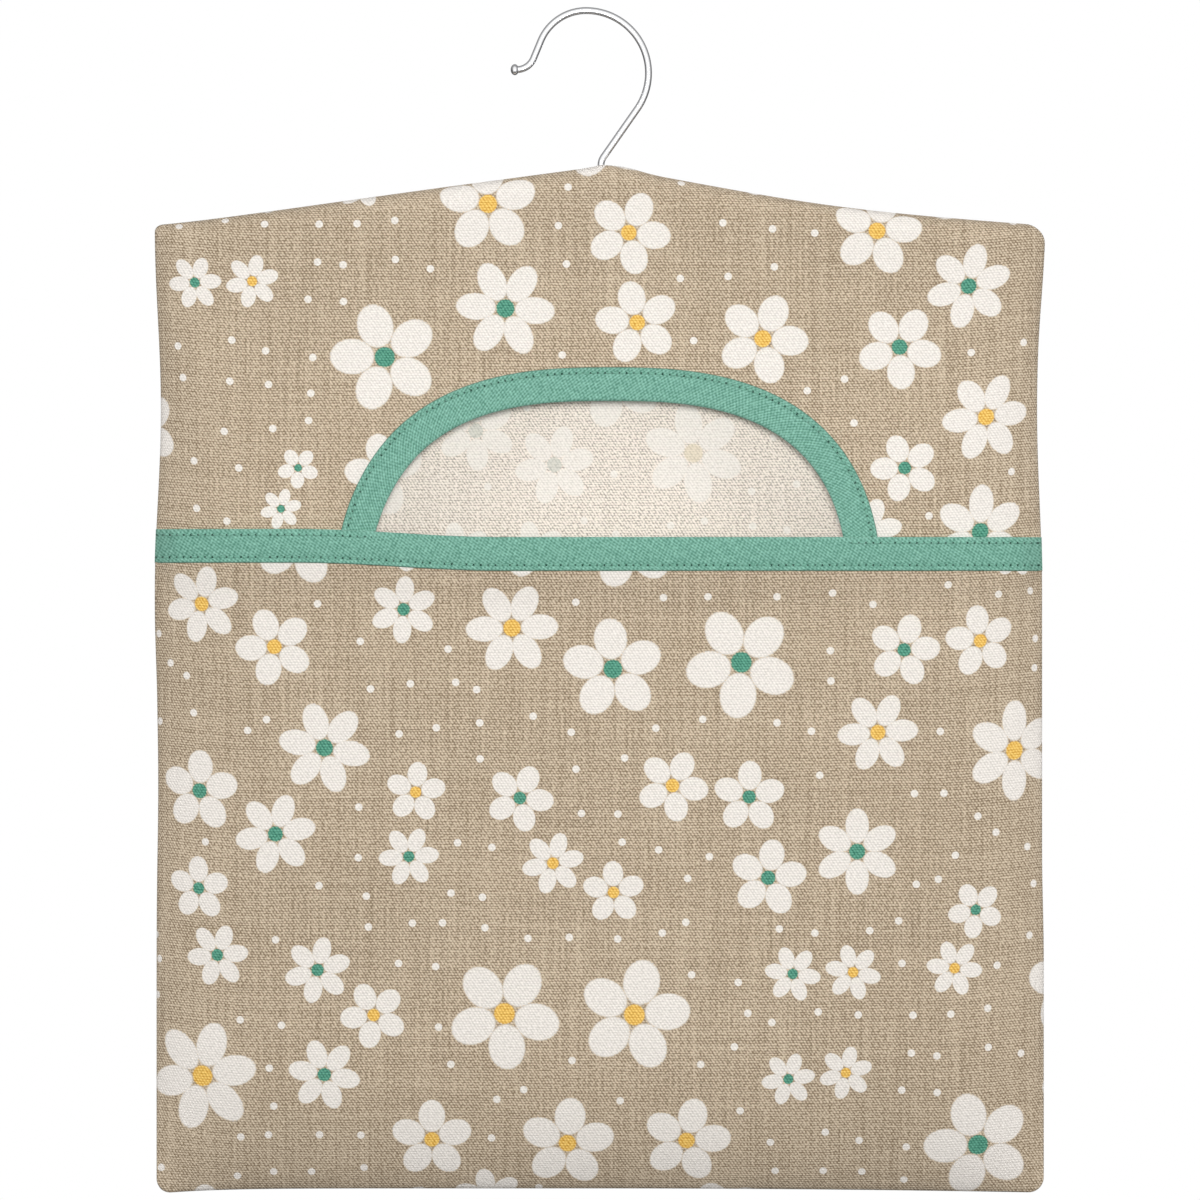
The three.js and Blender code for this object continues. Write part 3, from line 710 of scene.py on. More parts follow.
def blossoms(s, place, ragged):
    """Scattered blossoms of round petals. Gives masks for the petals, the middles and the yellow ones."""
    seat, room = blossom_seats(s, place)
    turn, kind, hue = s.parts(s.read(seat, "Color"), "SeparateColor")
    radius = s.math("MINIMUM", room * (BLOSSOM_ROOM * BLOSSOM_CELL), BLOSSOM_LARGEST)
    away = s.value("VectorMath", {0: place, 1: s.read(seat, "Position")}, operation="SUBTRACT")
    dx, dy, _ = s.parts(away)
    reach = s.length(dx, dy) / radius
    turned = s.math("ARCTAN2", dy, dx) + turn * BLOSSOM_TURN
    count = s.math("GREATER_THAN", kind, SIX_PETALLED) + FEWEST_PETALS
    half = math.pi / count
    angle = s.math("WRAP", turned, half, half * -1.0)
    along = reach * s.math("COSINE", angle)
    across = reach * s.math("SINE", angle)
    length = ((along - PETAL_MIDDLE) / PETAL_HALF) ** 2.0
    width = (across / (PETAL_SPREAD / count)) ** 2.0
    petals = s.step(length + width + ragged, *PETAL_EDGE)
    middle = s.step(reach + ragged * MIDDLE_RAGGED, *MIDDLE_EDGE)
    yellow = s.math("GREATER_THAN", hue, GREEN_SHARE)
    return petals, middle, yellow


def dots(s, place):
    """A mask of small dots in the gaps between the blossoms."""
    seat = seats(s, place, DOT_CELL, DOT_SCATTER)
    near, room = blossom_seats(s, s.read(seat, "Position"))
    taken = s.math("MINIMUM", room, BLOSSOM_LARGEST / BLOSSOM_CELL) + DOT_CLEARANCE / BLOSSOM_CELL
    clear = s.math("GREATER_THAN", s.read(near, "Distance"), taken)
    return s.step(s.read(seat, "Distance"), *DOT_EDGE) * clear


def printed_cotton(name, right_side):
    """Linen-look cotton with its print. The wrong side is pale, and the print shows through faintly. The
    weave's relief is also painted into the colour, as shade in its gaps and highlight on its threads.
    """
    s = Surface(name, roughness=0.92, sheen_weight=0.08, sheen_roughness=0.6, specular_ior_level=0.25)
    place = s.cloth()
    u, v, _ = s.parts(place)
    yarn = slubs(s, u, v)
    uneven = yarn * YARN_TONE + s.noise(place, PATCH_SCALE, detail=1.0) * PATCH_TONE
    floats, rows, thread_shade_share, yarn_share, start = RIGHT_TONES if right_side else WRONG_TONES
    threads = weave(s, u if right_side else u * -1.0, v, floats, rows)
    # Painted shade and highlight: the weave's relief darkens the ground in the gaps and lightens it on the
    # threads; the yarn's slubs and patches are its own tone
    tone = threads * thread_shade_share + (uneven * yarn_share + start)
    # Painted shade and highlight on the print: the weave's relief dims the paint in the gaps and brightens
    # it on the threads
    light = threads * PAINT_WEAVE_SHADE + 0.5
    petals, middle, yellow = blossoms(s, place, threads * RAGGED)
    white = s.most(petals, dots(s, place))
    if right_side:
        ground = s.mix(tone, rgb(136, 118, 95), rgb(216, 199, 175))
        paint = s.mix(light, rgb(212, 206, 199), rgb(247, 241, 234))
        gold = s.mix(light, rgb(206, 150, 54), rgb(250, 214, 122))
        green = s.mix(light, rgb(48, 112, 92), rgb(104, 172, 148))
        colour = s.mix(white, ground, paint)
        colour = s.mix(middle, colour, s.mix(yellow, green, gold))
    else:
        ground = s.mix(tone, rgb(178, 166, 153), rgb(255, 244, 233))
        paint = s.mix(light, rgb(236, 229, 221), rgb(255, 249, 242))
        shade = s.mix(yellow, rgb(206, 208, 198), rgb(232, 218, 190))
        colour = s.mix(white * PAINT_THROUGH, ground, paint)
        colour = s.mix(middle * MIDDLE_THROUGH, colour, shade)
    return s.finish(colour, threads + yarn, relief=THREAD_RELIEF, strength=0.5)


# Tape: waves of its two thread directions, each with its waves per metre along and across and its share
TAPE_RIBS = ((0.594 / MM, 0.833 / MM, 0.58), (0.75 / MM, -0.297 / MM, 0.42))
RIB_SHADE = 0.34
TAPE_PATCH_SCALE = 400.0
TAPE_PATCH_TONE = 0.55
TAPE_FUZZ_TONE = 0.36
TAPE_TONE_START = 0.09
RIB_RELIEF = 0.1 * MM
HOLE_EDGE = (0.5 * MM, 0.2 * MM)
HOLE_STRETCH = 0.6
HOLE_NOISE = 0.7
HOLE_DEPTHS = (0.25, 0.7)
HOLE_SHADE = 1.5
HOLE_RELIEF = 2.0
# The painted shadow line along the tape's sewn edge: its step in from the edge and its share of dark
EDGE_SHADOW_REACH = (0.5 * MM, 0.1 * MM)
EDGE_SHADOW_SHARE = 0.6


def needle_holes(s, u, v, inset, limits=None):
    """A mask of one stitch row's needle holes, inset from the tape's sewn edge, outside the limits."""
    step = u / STITCH_PITCH
    nearest = s.math("ROUND", step)
    away = s.length((step - nearest) * (HOLE_STRETCH * STITCH_PITCH), v - inset)
    depth = s.step(s.noise(s.point(nearest, inset), HOLE_NOISE), *HOLE_DEPTHS)
    holes = s.step(away, *HOLE_EDGE) * depth
    if limits is not None:
        holes = holes * (s.math("LESS_THAN", u, limits[0]) + s.math("GREATER_THAN", u, limits[1]))
    return holes


def bias_tape(name, upper_row_limits=None):
    """Sea-green cotton tape cut on the bias, so its weave runs slantwise, with its needle holes, painted
    shade in its ribs' troughs and a painted shadow line along its sewn edge.
    """
    s = Surface(name, roughness=0.9, sheen_weight=0.1, sheen_roughness=0.5, specular_ior_level=0.25)
    u, v, _ = s.parts(s.cloth())
    ribs = []
    for along, across, share in TAPE_RIBS:
        phase = u * (2 * math.pi * along) + v * (2 * math.pi * across)
        ribs.append(s.math("COSINE", phase) * share)
    threads = ribs[0] + ribs[1]
    patches = s.noise(s.point(u * TAPE_PATCH_SCALE, v * TAPE_PATCH_SCALE))
    uneven = patches * TAPE_PATCH_TONE + fuzz(s, u, v) * TAPE_FUZZ_TONE
    # Painted shade and highlight: the ribs' relief darkens the colour in their troughs and lightens it on
    # their crowns; the patches and fuzz are uneven yarn
    tone = threads * RIB_SHADE + (uneven + TAPE_TONE_START)
    colour = s.mix(tone, rgb(82, 134, 116), rgb(150, 203, 185))
    front = s.math("MINIMUM", v, 2 * TAPE_WIDTH - v)
    holes = needle_holes(s, u, front, STITCH_INSET)
    if upper_row_limits is not None:
        holes = s.most(holes, needle_holes(s, u, front, TAPE_WIDTH - STITCH_INSET, upper_row_limits))
    colour = s.mix(holes * HOLE_SHADE, colour, rgb(34, 72, 59))
    # Painted shadow: a thin dark line along the tape's sewn edge, where it turns under, stands in for the
    # contact shadow there
    edge_shadow = s.step(front, *EDGE_SHADOW_REACH)
    colour = s.mix(edge_shadow * EDGE_SHADOW_SHARE, colour, rgb(58, 92, 76))
    return s.finish(colour, threads - holes * HOLE_RELIEF, relief=RIB_RELIEF, strength=0.6)


# Thread, metal and wood: noise scales per metre, and the noise that gives roughness 0 and 1
PLY_SCALE = 1500.0
WIRE_CLOUDS = 160.0
WIRE_ROUGHNESS = (-0.3, 4.2)
ZINC_CLOUDS = 700.0
ZINC_ROUGHNESS = (-0.4, 1.8)
GRAIN_SCALE = (6.0, 130.0, 130.0)
FLECK_SCALE = (260.0, 1500.0, 1500.0)
FLECK_EDGE = (0.66, 0.74)
FLECK_SHADE = 0.5


def plain_thread(name, dark, light):
    """Twisted sewing thread."""
    s = Surface(name, roughness=0.75, sheen_weight=0.15, specular_ior_level=0.3)
    ply = s.noise(s.place(), PLY_SCALE, detail=1.0)
    return s.finish(s.mix(ply, dark, light), ply, relief=0.05 * MM, strength=0.4)


def bright_wire():
    """Bright plated wire, a little clouded by handling."""
    s = Surface("bright_wire", metallic=1.0, specular_tint=(0.5, 0.5, 0.53, 1.0))
    cloud = s.noise(s.place(), WIRE_CLOUDS)
    s.put(s.shader.inputs["Roughness"], s.step(cloud, *WIRE_ROUGHNESS))
    return s.finish(s.mix(cloud, (0.86, 0.87, 0.89, 1.0), (0.94, 0.94, 0.95, 1.0)))


def zinc_plate():
    """Dull zinc plate."""
    s = Surface("zinc_plate", metallic=1.0)
    cloud = s.noise(s.place(), ZINC_CLOUDS, detail=3.0)
    s.put(s.shader.inputs["Roughness"], s.step(cloud, *ZINC_ROUGHNESS))
    colour = s.mix(cloud, (0.36, 0.37, 0.38, 1.0), (0.52, 0.53, 0.54, 1.0))
    return s.finish(colour, cloud, relief=0.02 * MM, strength=0.2)


def beech():
    """Beech, with its grain along the bar and its short dark flecks."""
    s = Surface("beech", roughness=0.55, specular_ior_level=0.35)
    place = s.place()
    grain = s.noise(s.value("Mapping", {"Vector": place, "Scale": GRAIN_SCALE}), detail=5.0)
    flecks = s.noise(s.value("Mapping", {"Vector": place, "Scale": FLECK_SCALE}), detail=1.0)
    colour = s.mix(grain, rgb(176, 126, 80), rgb(222, 182, 132))
    colour = s.mix(s.step(flecks, *FLECK_EDGE) * FLECK_SHADE, colour, rgb(128, 82, 48))
    return s.finish(colour, grain, relief=0.05 * MM, strength=0.3)


RIGHT_SIDE = printed_cotton("printed_cotton_right_side", True)
WRONG_SIDE = printed_cotton("printed_cotton_wrong_side", False)
ARCH_TAPE = bias_tape("arch_tape")
BAR_TAPE = bias_tape("bar_tape", (MOUTH_LEFT + HALF_WIDTH, MOUTH_RIGHT + HALF_WIDTH))
GREEN_THREAD = plain_thread("green_thread", rgb(84, 142, 122), rgb(140, 196, 176))
PALE_THREAD = plain_thread("pale_thread", rgb(206, 198, 184), rgb(244, 239, 228))
BRIGHT_WIRE = bright_wire()
BEECH = beech()

# Panels: their grids, and where on the printed cloth each was cut
BACK_COLUMNS = 170
BACK_ROWS = 190
NECK_COLUMNS = np.linspace(-5, 5, 11) * MM
LOWER_COLUMNS = 180
LOWER_ROWS = 120
UPPER_COLUMNS = 260
UPPER_NECK_COLUMNS = 31
UPPER_NECK_SHARE = 0.018
UPPER_SIDE_SHARE = 0.27
UPPER_ROWS = 34
UPPER_RIM_ROWS = 26
UPPER_RIM_SHARE = 0.16
ARCH_POINTS = 3000
CUT_POINTS = 1200
BACK_PRINT = (0.131, 0.047)
LOWER_PRINT = (0.0, 0.402)
UPPER_PRINT = (0.213, 0.118)


def towards_edges(count):
    """Numbers from -1 to 1, close together at both ends."""
    return np.sin(np.linspace(-np.pi / 2, np.pi / 2, count))


def spread(columns, rows, top):
    """Places of a grid from side to side, between the bottom edge and a top edge."""
    u, v = np.meshgrid(columns, rows)
    x = u * HALF_WIDTH
    z = bottom_edge(x) + (top(x) - bottom_edge(x)) * v
    return u * half_width(u, z), z


def sealed(thick, edges):
    """Closes the cloth's rim along the named edges of its grid."""
    where = {"bottom": np.s_[0, :], "top": np.s_[-1, :], "left": np.s_[:, 0], "right": np.s_[:, -1]}
    for edge in edges:
        thick[where[edge]] = 0
    return thick


def panel(name, node, x, z, inside, side, sewn, print_at):
    """A printed panel on one side of the bag, sewn along the named edges of its grid."""
    depth = inside(x, z)
    x, z = round_corners(x, z)
    thick = sealed(rolled(x, z), sewn)
    flat = FlatMap(inside)(x, z) * [-side, 1] + print_at
    piece = cloth_shell(name, x, z, depth, thick, side, flat, [RIGHT_SIDE, WRONG_SIDE])
    return dress(piece, node)


def make_back():
    columns = np.sort(np.concatenate([towards_edges(BACK_COLUMNS), NECK_COLUMNS / HALF_WIDTH]))
    x, z = spread(columns, (towards_edges(BACK_ROWS) + 1) / 2, top_edge)
    sewn = ("bottom", "top", "left", "right")
    return panel("back_cloth", "back_panel", x, z, back_inside, 1, sewn, BACK_PRINT)


def make_lower_front():
    rows = 1 - np.sin(np.linspace(0, np.pi / 2, LOWER_ROWS))[::-1]
    x, z = spread(towards_edges(LOWER_COLUMNS), rows, pocket_top)
    sewn = ("bottom", "left", "right")
    return panel("lower_front_cloth", "lower_front_panel", x, z, lower_inside, -1, sewn, LOWER_PRINT)


def arch_curve(inset, count):
    """Places along the mouth's arch from left foot to right, the way inwards, and the length so far."""
    foot_left, foot_right = LAP_EDGE + bar_rise(-ARCH_HALF_WIDTH), LAP_EDGE
    turn = lambda z: math.asin(((z - ARCH_BASE) / ARCH_HEIGHT) ** (ARCH_POWER / 2))
    angle = np.linspace(np.pi - turn(foot_left), turn(foot_right), ARCH_POINTS)
    c, s = np.cos(angle), np.sin(angle)
    x = MOUTH_X + ARCH_HALF_WIDTH * np.sign(c) * np.abs(c) ** (2 / ARCH_POWER)
    z = ARCH_BASE + ARCH_HEIGHT * s ** (2 / ARCH_POWER)
    flare = LEFT_FLARE * (1 - ease(z, LAP_EDGE, LAP_EDGE + FLARE_HEIGHT))
    x = x - np.where(x < MOUTH_X, flare, 0)
    length = np.concatenate([[0], np.cumsum(np.hypot(np.diff(x), np.diff(z)))])
    way = np.linspace(0, length[-1], count)
    x, z = np.interp(way, length, x), np.interp(way, length, z)
    tx, tz = np.gradient(x), np.gradient(z)
    norm = np.hypot(tx, tz)
    inward = np.stack([tz / norm, -tx / norm], -1)
    return x + inset * inward[:, 0], z + inset * inward[:, 1], inward, way


def make_upper_front():
    """Columns of its grid run from the mouth's cut edge out to the left side, the top and the right side."""
    u = np.linspace(0, 1, UPPER_COLUMNS)
    near = np.linspace(0.5 - UPPER_NECK_SHARE, 0.5 + UPPER_NECK_SHARE, UPPER_NECK_COLUMNS)
    u = np.sort(np.concatenate([u[np.abs(u - 0.5) > UPPER_NECK_SHARE], near]))
    cut_x, cut_z = arch_curve(TAPE_WIDTH - EDGE_TUCK, CUT_POINTS)[:2]
    share = np.linspace(0, 1, CUT_POINTS)
    inner_x, inner_z = np.interp(u, share, cut_x), np.interp(u, share, cut_z)
    left, right = UPPER_SIDE_SHARE, 1 - UPPER_SIDE_SHARE
    outer_z = np.interp(u, [0, left, right, 1], [LAP_EDGE + BAR_RISE, CORNER, CORNER, LAP_EDGE])
    outer_x = np.interp(u, [left, right], [-HALF_WIDTH, HALF_WIDTH])
    on_top = (u >= left) & (u <= right)
    outer_z = np.where(on_top, top_edge(outer_x), outer_z)
    outer_x = np.where(on_top, outer_x, np.sign(outer_x) * half_width(outer_x, outer_z))
    field = np.linspace(0, 1 - UPPER_RIM_SHARE, UPPER_ROWS)[:-1]
    rim = 1 - UPPER_RIM_SHARE * np.linspace(1, 0, UPPER_RIM_ROWS) ** 2
    v = np.concatenate([field, rim])[:, None]
    x = inner_x + (outer_x - inner_x) * v
    z = inner_z + (outer_z - inner_z) * v
    return panel("upper_front_cloth", "upper_front_panel", x, z, front_inside, -1, ("top",), UPPER_PRINT)


# Bindings; each stretch across a tape leaf has its start, its end and its points
FOLD = 1.1 * MM
FOLD_POINTS = 11
TAPE_EDGE = 0.7 * MM
GROOVE = 0.32 * MM
GROOVE_WIDTH = 0.75 * MM
PUFF = 0.22 * MM
PUFF_AT = 6.5 * MM
PUFF_WIDTH = 3 * MM
LEAF_STRETCHES = ((0, TAPE_EDGE, 6), (1 * MM, 3.4 * MM, 9), (4 * MM, TAPE_WIDTH - FOLD, 9))
LINING_GAP = 0.04 * MM
LINING_INSET = 0.3 * MM
RIPPLE = 0.05 * MM
SLANT_RIPPLE_CELL = 4 * MM
SLANT_RIPPLE_SEED = 21
CROSS_RIPPLE_CELL = 2.6 * MM
CROSS_RIPPLE_STRETCH = 0.3
CROSS_RIPPLE_SEED = 22
ARCH_TAPE_POINTS = 260
BAR_TAPE_POINTS = 420


def leaf(w):
    """Height of one tape leaf over the cloth, w in from its turned edge, with the stitch line's groove."""
    groove = GROOVE * bell(w, STITCH_INSET, GROOVE_WIDTH)
    return TAPE * rounded(w / TAPE_EDGE) - groove + PUFF * bell(w, PUFF_AT, PUFF_WIDTH)


def tape_profile():
    """The folded tape's closed section: inset and depth over the cloth's inner face, and width laid flat."""
    across = np.concatenate([np.linspace(*stretch) for stretch in LEAF_STRETCHES])
    last = across[-1]
    front = np.stack([across, CLOTH + leaf(across)], -1)
    turn = np.linspace(0, np.pi, FOLD_POINTS)[1:-1]
    top = CLOTH / 2 + leaf(last)
    fold = np.stack([last + FOLD * np.sin(turn), CLOTH / 2 + top * np.cos(turn)], -1)
    back = np.stack([across[::-1], -leaf(across[::-1])], -1)
    low, high = -LINING_GAP, CLOTH + LINING_GAP
    start, end = LINING_INSET, last - LINING_INSET
    lining = np.array([[start, low], [end, low], [end, high], [start, high]])
    loop = np.vstack([front, fold, back, lining])
    turned = np.linspace(last, 2 * TAPE_WIDTH - last, FOLD_POINTS)[1:-1]
    flat = np.concatenate([across, turned, 2 * TAPE_WIDTH - across[::-1], lining[:, 0]])
    return loop, flat


def folded_tape(name, x, z, inward, way, base, material, press=None):
    """Tape folded over a cloth edge. base gives the wrapped cloth's inner face; press thins the tape."""
    loop, flat = tape_profile()
    inset, along = loop[:, 0], way[:, None]
    px = x[:, None] + inward[:, :1] * inset
    pz = z[:, None] + inward[:, 1:] * inset
    over = loop[:, 1][None] - CLOTH / 2
    slant = soft_noise(along - inset, inset, SLANT_RIPPLE_CELL, SLANT_RIPPLE_SEED)
    cross = soft_noise(along, inset * CROSS_RIPPLE_STRETCH, CROSS_RIPPLE_CELL, CROSS_RIPPLE_SEED)
    shown = np.abs(over) > CLOTH
    over = over + np.where(shown, np.sign(over) * RIPPLE * (slant + cross), 0)
    if press is not None:
        over = over * press(px, pz)
    y = -(base(px, pz) + CLOTH / 2 + over)
    points = np.stack([px, y, pz], -1).reshape(-1, 3)
    faces = sweep_faces(np.arange(len(points)).reshape(len(x), len(loop)))
    uv = np.stack(np.broadcast_arrays(along, flat[None]), -1).reshape(-1, 2)
    return mesh_object(name, points, faces, [material], uv)


def make_mouth_binding():
    x, z, inward, way = arch_curve(0, ARCH_TAPE_POINTS)
    piece = folded_tape("mouth_tape", x, z, inward, way, front_inside, ARCH_TAPE)
    return dress(piece, "mouth_binding")


def bar_line(offset, count, start=-1.0, end=1.0):
    """Places along the crossbar, offset up from its lower edge, between two shares of the half width."""
    u = start + (end - start) * (towards_edges(count) + 1) / 2
    z = BAR_BOTTOM + bar_rise(u * HALF_WIDTH) + offset
    x = u * half_width(u, z)
    return x, z, x + HALF_WIDTH


def make_crossbar():
    x, z, way = bar_line(0, BAR_TAPE_POINTS)
    top_x, top_z, _ = bar_line(TAPE_WIDTH, BAR_TAPE_POINTS)
    inward = np.stack([top_x - x, top_z - z], -1) / TAPE_WIDTH
    x = x * (1 + TAPE_COVER / HALF_WIDTH)
    piece = folded_tape("crossbar_tape", x, z, inward, way, lower_inside, BAR_TAPE, flatten)
    return dress(piece, "crossbar_binding")


# Stitching: a stitch's lift, dip and taper are shares of its thread's radius
STITCH_POINTS = 7
STITCH_SIDES = 8
STITCH_LIFT = 0.75
STITCH_DIP = 1.3
STITCH_TAPER = 0.25
STITCH_SLIP = 0.08 * MM
SLIP_STEP = 2.4
ROW_POINTS = 900
ROW_END = 0.99


def stitches(name, x, z, way, depth):
    """A row of stitches along a line on the cloth. Each dips into the cloth at both ends."""
    first = math.ceil(way[0] / STITCH_PITCH) * STITCH_PITCH
    middles = np.arange(first + STITCH_PITCH / 2, way[-1] - STITCH_PITCH / 2, STITCH_PITCH)
    t = np.linspace(-1, 1, STITCH_POINTS)
    lift = THREAD_RADIUS * (STITCH_LIFT - STITCH_DIP * t**4)
    radius = THREAD_RADIUS * (1 - STITCH_TAPER * t**4)
    parts = []
    for number, middle in enumerate(middles):
        at = middle + t * STITCH_LENGTH / 2
        px, pz = np.interp(at, way, x), np.interp(at, way, z)
        slip = STITCH_SLIP * math.sin(SLIP_STEP * number) * t
        line = np.stack([px, -(depth(px, pz) + lift), pz + slip], -1)
        parts.append(tube(line, radius, STITCH_SIDES))
    points, faces = joined(parts)
    return mesh_object(name, points, faces, [GREEN_THREAD])


def make_stitching():
    x, z, _, way = arch_curve(STITCH_INSET, ROW_POINTS)
    above = z > BAR_TOP + np.where(x < MOUTH_X, BAR_RISE, 0)
    on_arch = lambda px, pz: front_inside(px, pz) + CLOTH + leaf(STITCH_INSET)
    piece = stitches("mouth_stitches", x[above], z[above], way[above], on_arch)
    dress(piece, "mouth_stitching")

    def on_bar(inset):
        height = CLOTH / 2 + leaf(inset)
        return lambda px, pz: lower_inside(px, pz) + CLOTH / 2 + height * flatten(px, pz)

    mouth_left, mouth_right = MOUTH_LEFT / HALF_WIDTH, MOUTH_RIGHT / HALF_WIDTH
    top_row = TAPE_WIDTH - STITCH_INSET
    rows = [
        ("crossbar_lower_stitch", "crossbar_lower_stitching", STITCH_INSET, -ROW_END, ROW_END),
        ("crossbar_upper_left_stitch", "crossbar_upper_left_stitching", top_row, -ROW_END, mouth_left),
        ("crossbar_upper_right_stitch", "crossbar_upper_right_stitching", top_row, mouth_right, ROW_END),
    ]
    for name, node, inset, start, end in rows:
        x, z, way = bar_line(inset, ROW_POINTS, start, end)
        piece = stitches(name, x, z, way, on_bar(inset))
        dress(piece, node)


# Seams inside the bag; a seam's section is in shares of its width and of half its thickness
SEAM_INSET = 1.6 * MM
SEAM_HALF = 0.5 * MM
TOP_SEAM_INSET = 1.4 * MM
TOP_SEAM_WIDTH = 1.9 * MM
BOTTOM_SEAM_END = 6 * MM
BOTTOM_SEAM_TRIM = 0.6 * MM
LOWER_LEAF = [(0, -0.25), (0.12, -0.8), (0.5, -1), (0.97, -1), (1, -0.5), (0.94, 0)]
UPPER_LEAF = [(1, 0.5), (0.97, 1), (0.5, 1), (0.12, 0.8), (0, 0.25)]
SEAM_WAVE = 0.2 * MM
SEAM_WAVE_STEP = 0.35
SEAM_SEED = 31
SIDE_SEAM_POINTS = 160
TOP_SEAM_POINTS = 120
BOTTOM_SEAM_POINTS = 170
OVERLOCK_PITCH = 2.4 * MM
OVERLOCK_RADIUS = 0.17 * MM
OVERLOCK_WIDTH = 4 * MM
OVERLOCK_SHARE = 0.6
OVERLOCK_OVERHANG = 0.3 * MM
OVERLOCK_ROUNDNESS = 0.35
OVERLOCK_STEPS = 8
OVERLOCK_SIDES = 6
LAP_REACH = 12 * MM
LAP_POINTS = 80


def overlock(edge, inward, half_thick, width=OVERLOCK_WIDTH):
    """Overlock thread: loops that run over one face, round a raw edge and back over the other face."""
    way = np.concatenate([[0], np.cumsum(np.linalg.norm(np.diff(edge, axis=0), axis=1))])
    turns = np.arange(0, way[-1], OVERLOCK_PITCH / OVERLOCK_STEPS)
    phase = 2 * np.pi * turns / OVERLOCK_PITCH
    base = np.stack([np.interp(turns, way, edge[:, k]) for k in range(3)], -1)
    reach = width * (0.5 + 0.5 * np.cos(phase)) - OVERLOCK_OVERHANG
    swing = np.sign(np.sin(phase)) * np.abs(np.sin(phase)) ** OVERLOCK_ROUNDNESS
    points = base + inward * reach[:, None]
    points[:, 1] += (half_thick + OVERLOCK_RADIUS) * swing
    return tube(points, OVERLOCK_RADIUS, OVERLOCK_SIDES)


def seam_strip(name, x, z, inward, width, node):
    """Both turned-in cloth edges of a seam, with overlock thread along their raw edge."""
    outer = np.stack(np.broadcast_arrays(x, 0.0, z), -1)
    inward = np.array(inward)
    section = np.array(LOWER_LEAF + UPPER_LEAF)
    count = len(outer)
    wave = soft_noise(np.arange(count) * SEAM_WAVE_STEP, np.zeros(count), 1.0, SEAM_SEED) * SEAM_WAVE
    points = outer[:, None] + inward * (section[:, :1] * width)
    points[:, :, 1] += section[:, 1] * SEAM_HALF + wave[:, None] * section[:, 0]
    faces = sweep_faces(np.arange(count * len(section)).reshape(count, -1))
    raw = outer + inward * width
    raw[:, 1] += wave
    thread = overlock(raw, -inward, SEAM_HALF, min(OVERLOCK_WIDTH, OVERLOCK_SHARE * width))
    points, all_faces = joined([(points.reshape(-1, 3), faces), thread])
    slots = np.repeat([0, 1], [len(faces), len(thread[1])])
    flat = np.stack([points[:, 0] + points[:, 1], points[:, 2]], -1)
    piece = mesh_object(name, points, all_faces, [WRONG_SIDE, PALE_THREAD], flat, slots)
    return dress(piece, node)


def make_seams():
    for name, side in (("left", -1), ("right", 1)):
        low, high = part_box(f"{name}_side_seam")
        z = np.linspace(low.z, high.z, SIDE_SEAM_POINTS)
        x = side * (half_width(side, z) - SEAM_INSET)
        width = SEAM_ALLOWANCE - SEAM_INSET
        seam_strip(f"{name}_side_edge", x, z, (-side, 0.0, 0.0), width, f"{name}_side_seam")
        low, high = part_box(f"top_{name}_seam")
        x = np.linspace(low.x, high.x, TOP_SEAM_POINTS)
        z = top_edge(x) - TOP_SEAM_INSET
        seam_strip(f"top_{name}_edge", x, z, (0.0, 0.0, -1.0), TOP_SEAM_WIDTH, f"top_{name}_seam")
    low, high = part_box("bottom_seam")
    x = np.linspace(low.x + BOTTOM_SEAM_END, high.x - BOTTOM_SEAM_END, BOTTOM_SEAM_POINTS)
    width = SEAM_ALLOWANCE - SEAM_INSET - BOTTOM_SEAM_TRIM
    seam_strip("bottom_edge", x, BOTTOM + SEAM_INSET, (0.0, 0.0, 1.0), width, "bottom_seam")


def make_lap_overlocks():
    """Overlock thread on the lower edge of the upper front, behind the crossbar."""
    limit = HALF_WIDTH - LAP_REACH
    for name in ("left", "right"):
        low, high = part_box(f"{name}_lap_overlock")
        x = np.linspace(max(low.x, -limit), min(high.x, limit), LAP_POINTS)
        z = LAP_EDGE + bar_rise(x)
        edge = np.stack([x, -(front_inside(x, z) + CLOTH / 2), z], -1)
        points, faces = overlock(edge, np.array([0.0, 0.0, 1.0]), CLOTH / 2)
        piece = mesh_object(f"{name}_lap_edge_thread", points, faces, [PALE_THREAD])
        dress(piece, f"{name}_lap_overlock")


# Hook
WIRE_RADIUS = 1.25 * MM
WIRE_SIDES = 48
CROWN_RADIUS = 22.5 * MM
FRONT_RADIUS = 17.6 * MM
CROWN_X = -5.4 * MM
SLANT = math.radians(35)
NECK_RADIUS = 5.2 * MM
FRONT_SWEEP = math.radians(67.5)
FRONT_STRAIGHT = 6.9 * MM
TIP_RADIUS = 6.5 * MM
TIP_TURN = math.radians(66)
TIP_STRAIGHT = 0.6 * MM
BALL_RADIUS = 2 * MM
BALL_LENGTH = 1.5 * MM
BALL_SHIFT = 0.3 * MM
BALL_ANGLES = (0.6, math.pi - 0.02)
BALL_POINTS = 14
HEAD_RADIUS = 2.5 * MM
HEAD_HEIGHT = 1.6 * MM
HEAD_SIDES = 24
HEAD_PROFILE = [(0.6, 0), (0.9, 0.1), (1, 0.3), (1, 0.75), (0.9, 0.95), (0.5, 1)]
SHANK_POINTS = 40
SLANT_POINTS = 20
FRONT_POINTS = 8
END_POINTS = 6
ARC_STEP = 0.5 * MM
FEWEST_ARC_POINTS = 6


def arc(centre, radius, start, end):
    count = max(int(abs(end - start) * radius / ARC_STEP), FEWEST_ARC_POINTS)
    angle = np.linspace(start, end, count)
    return np.stack([centre[0] + radius * np.cos(angle), centre[1] + radius * np.sin(angle)], -1)


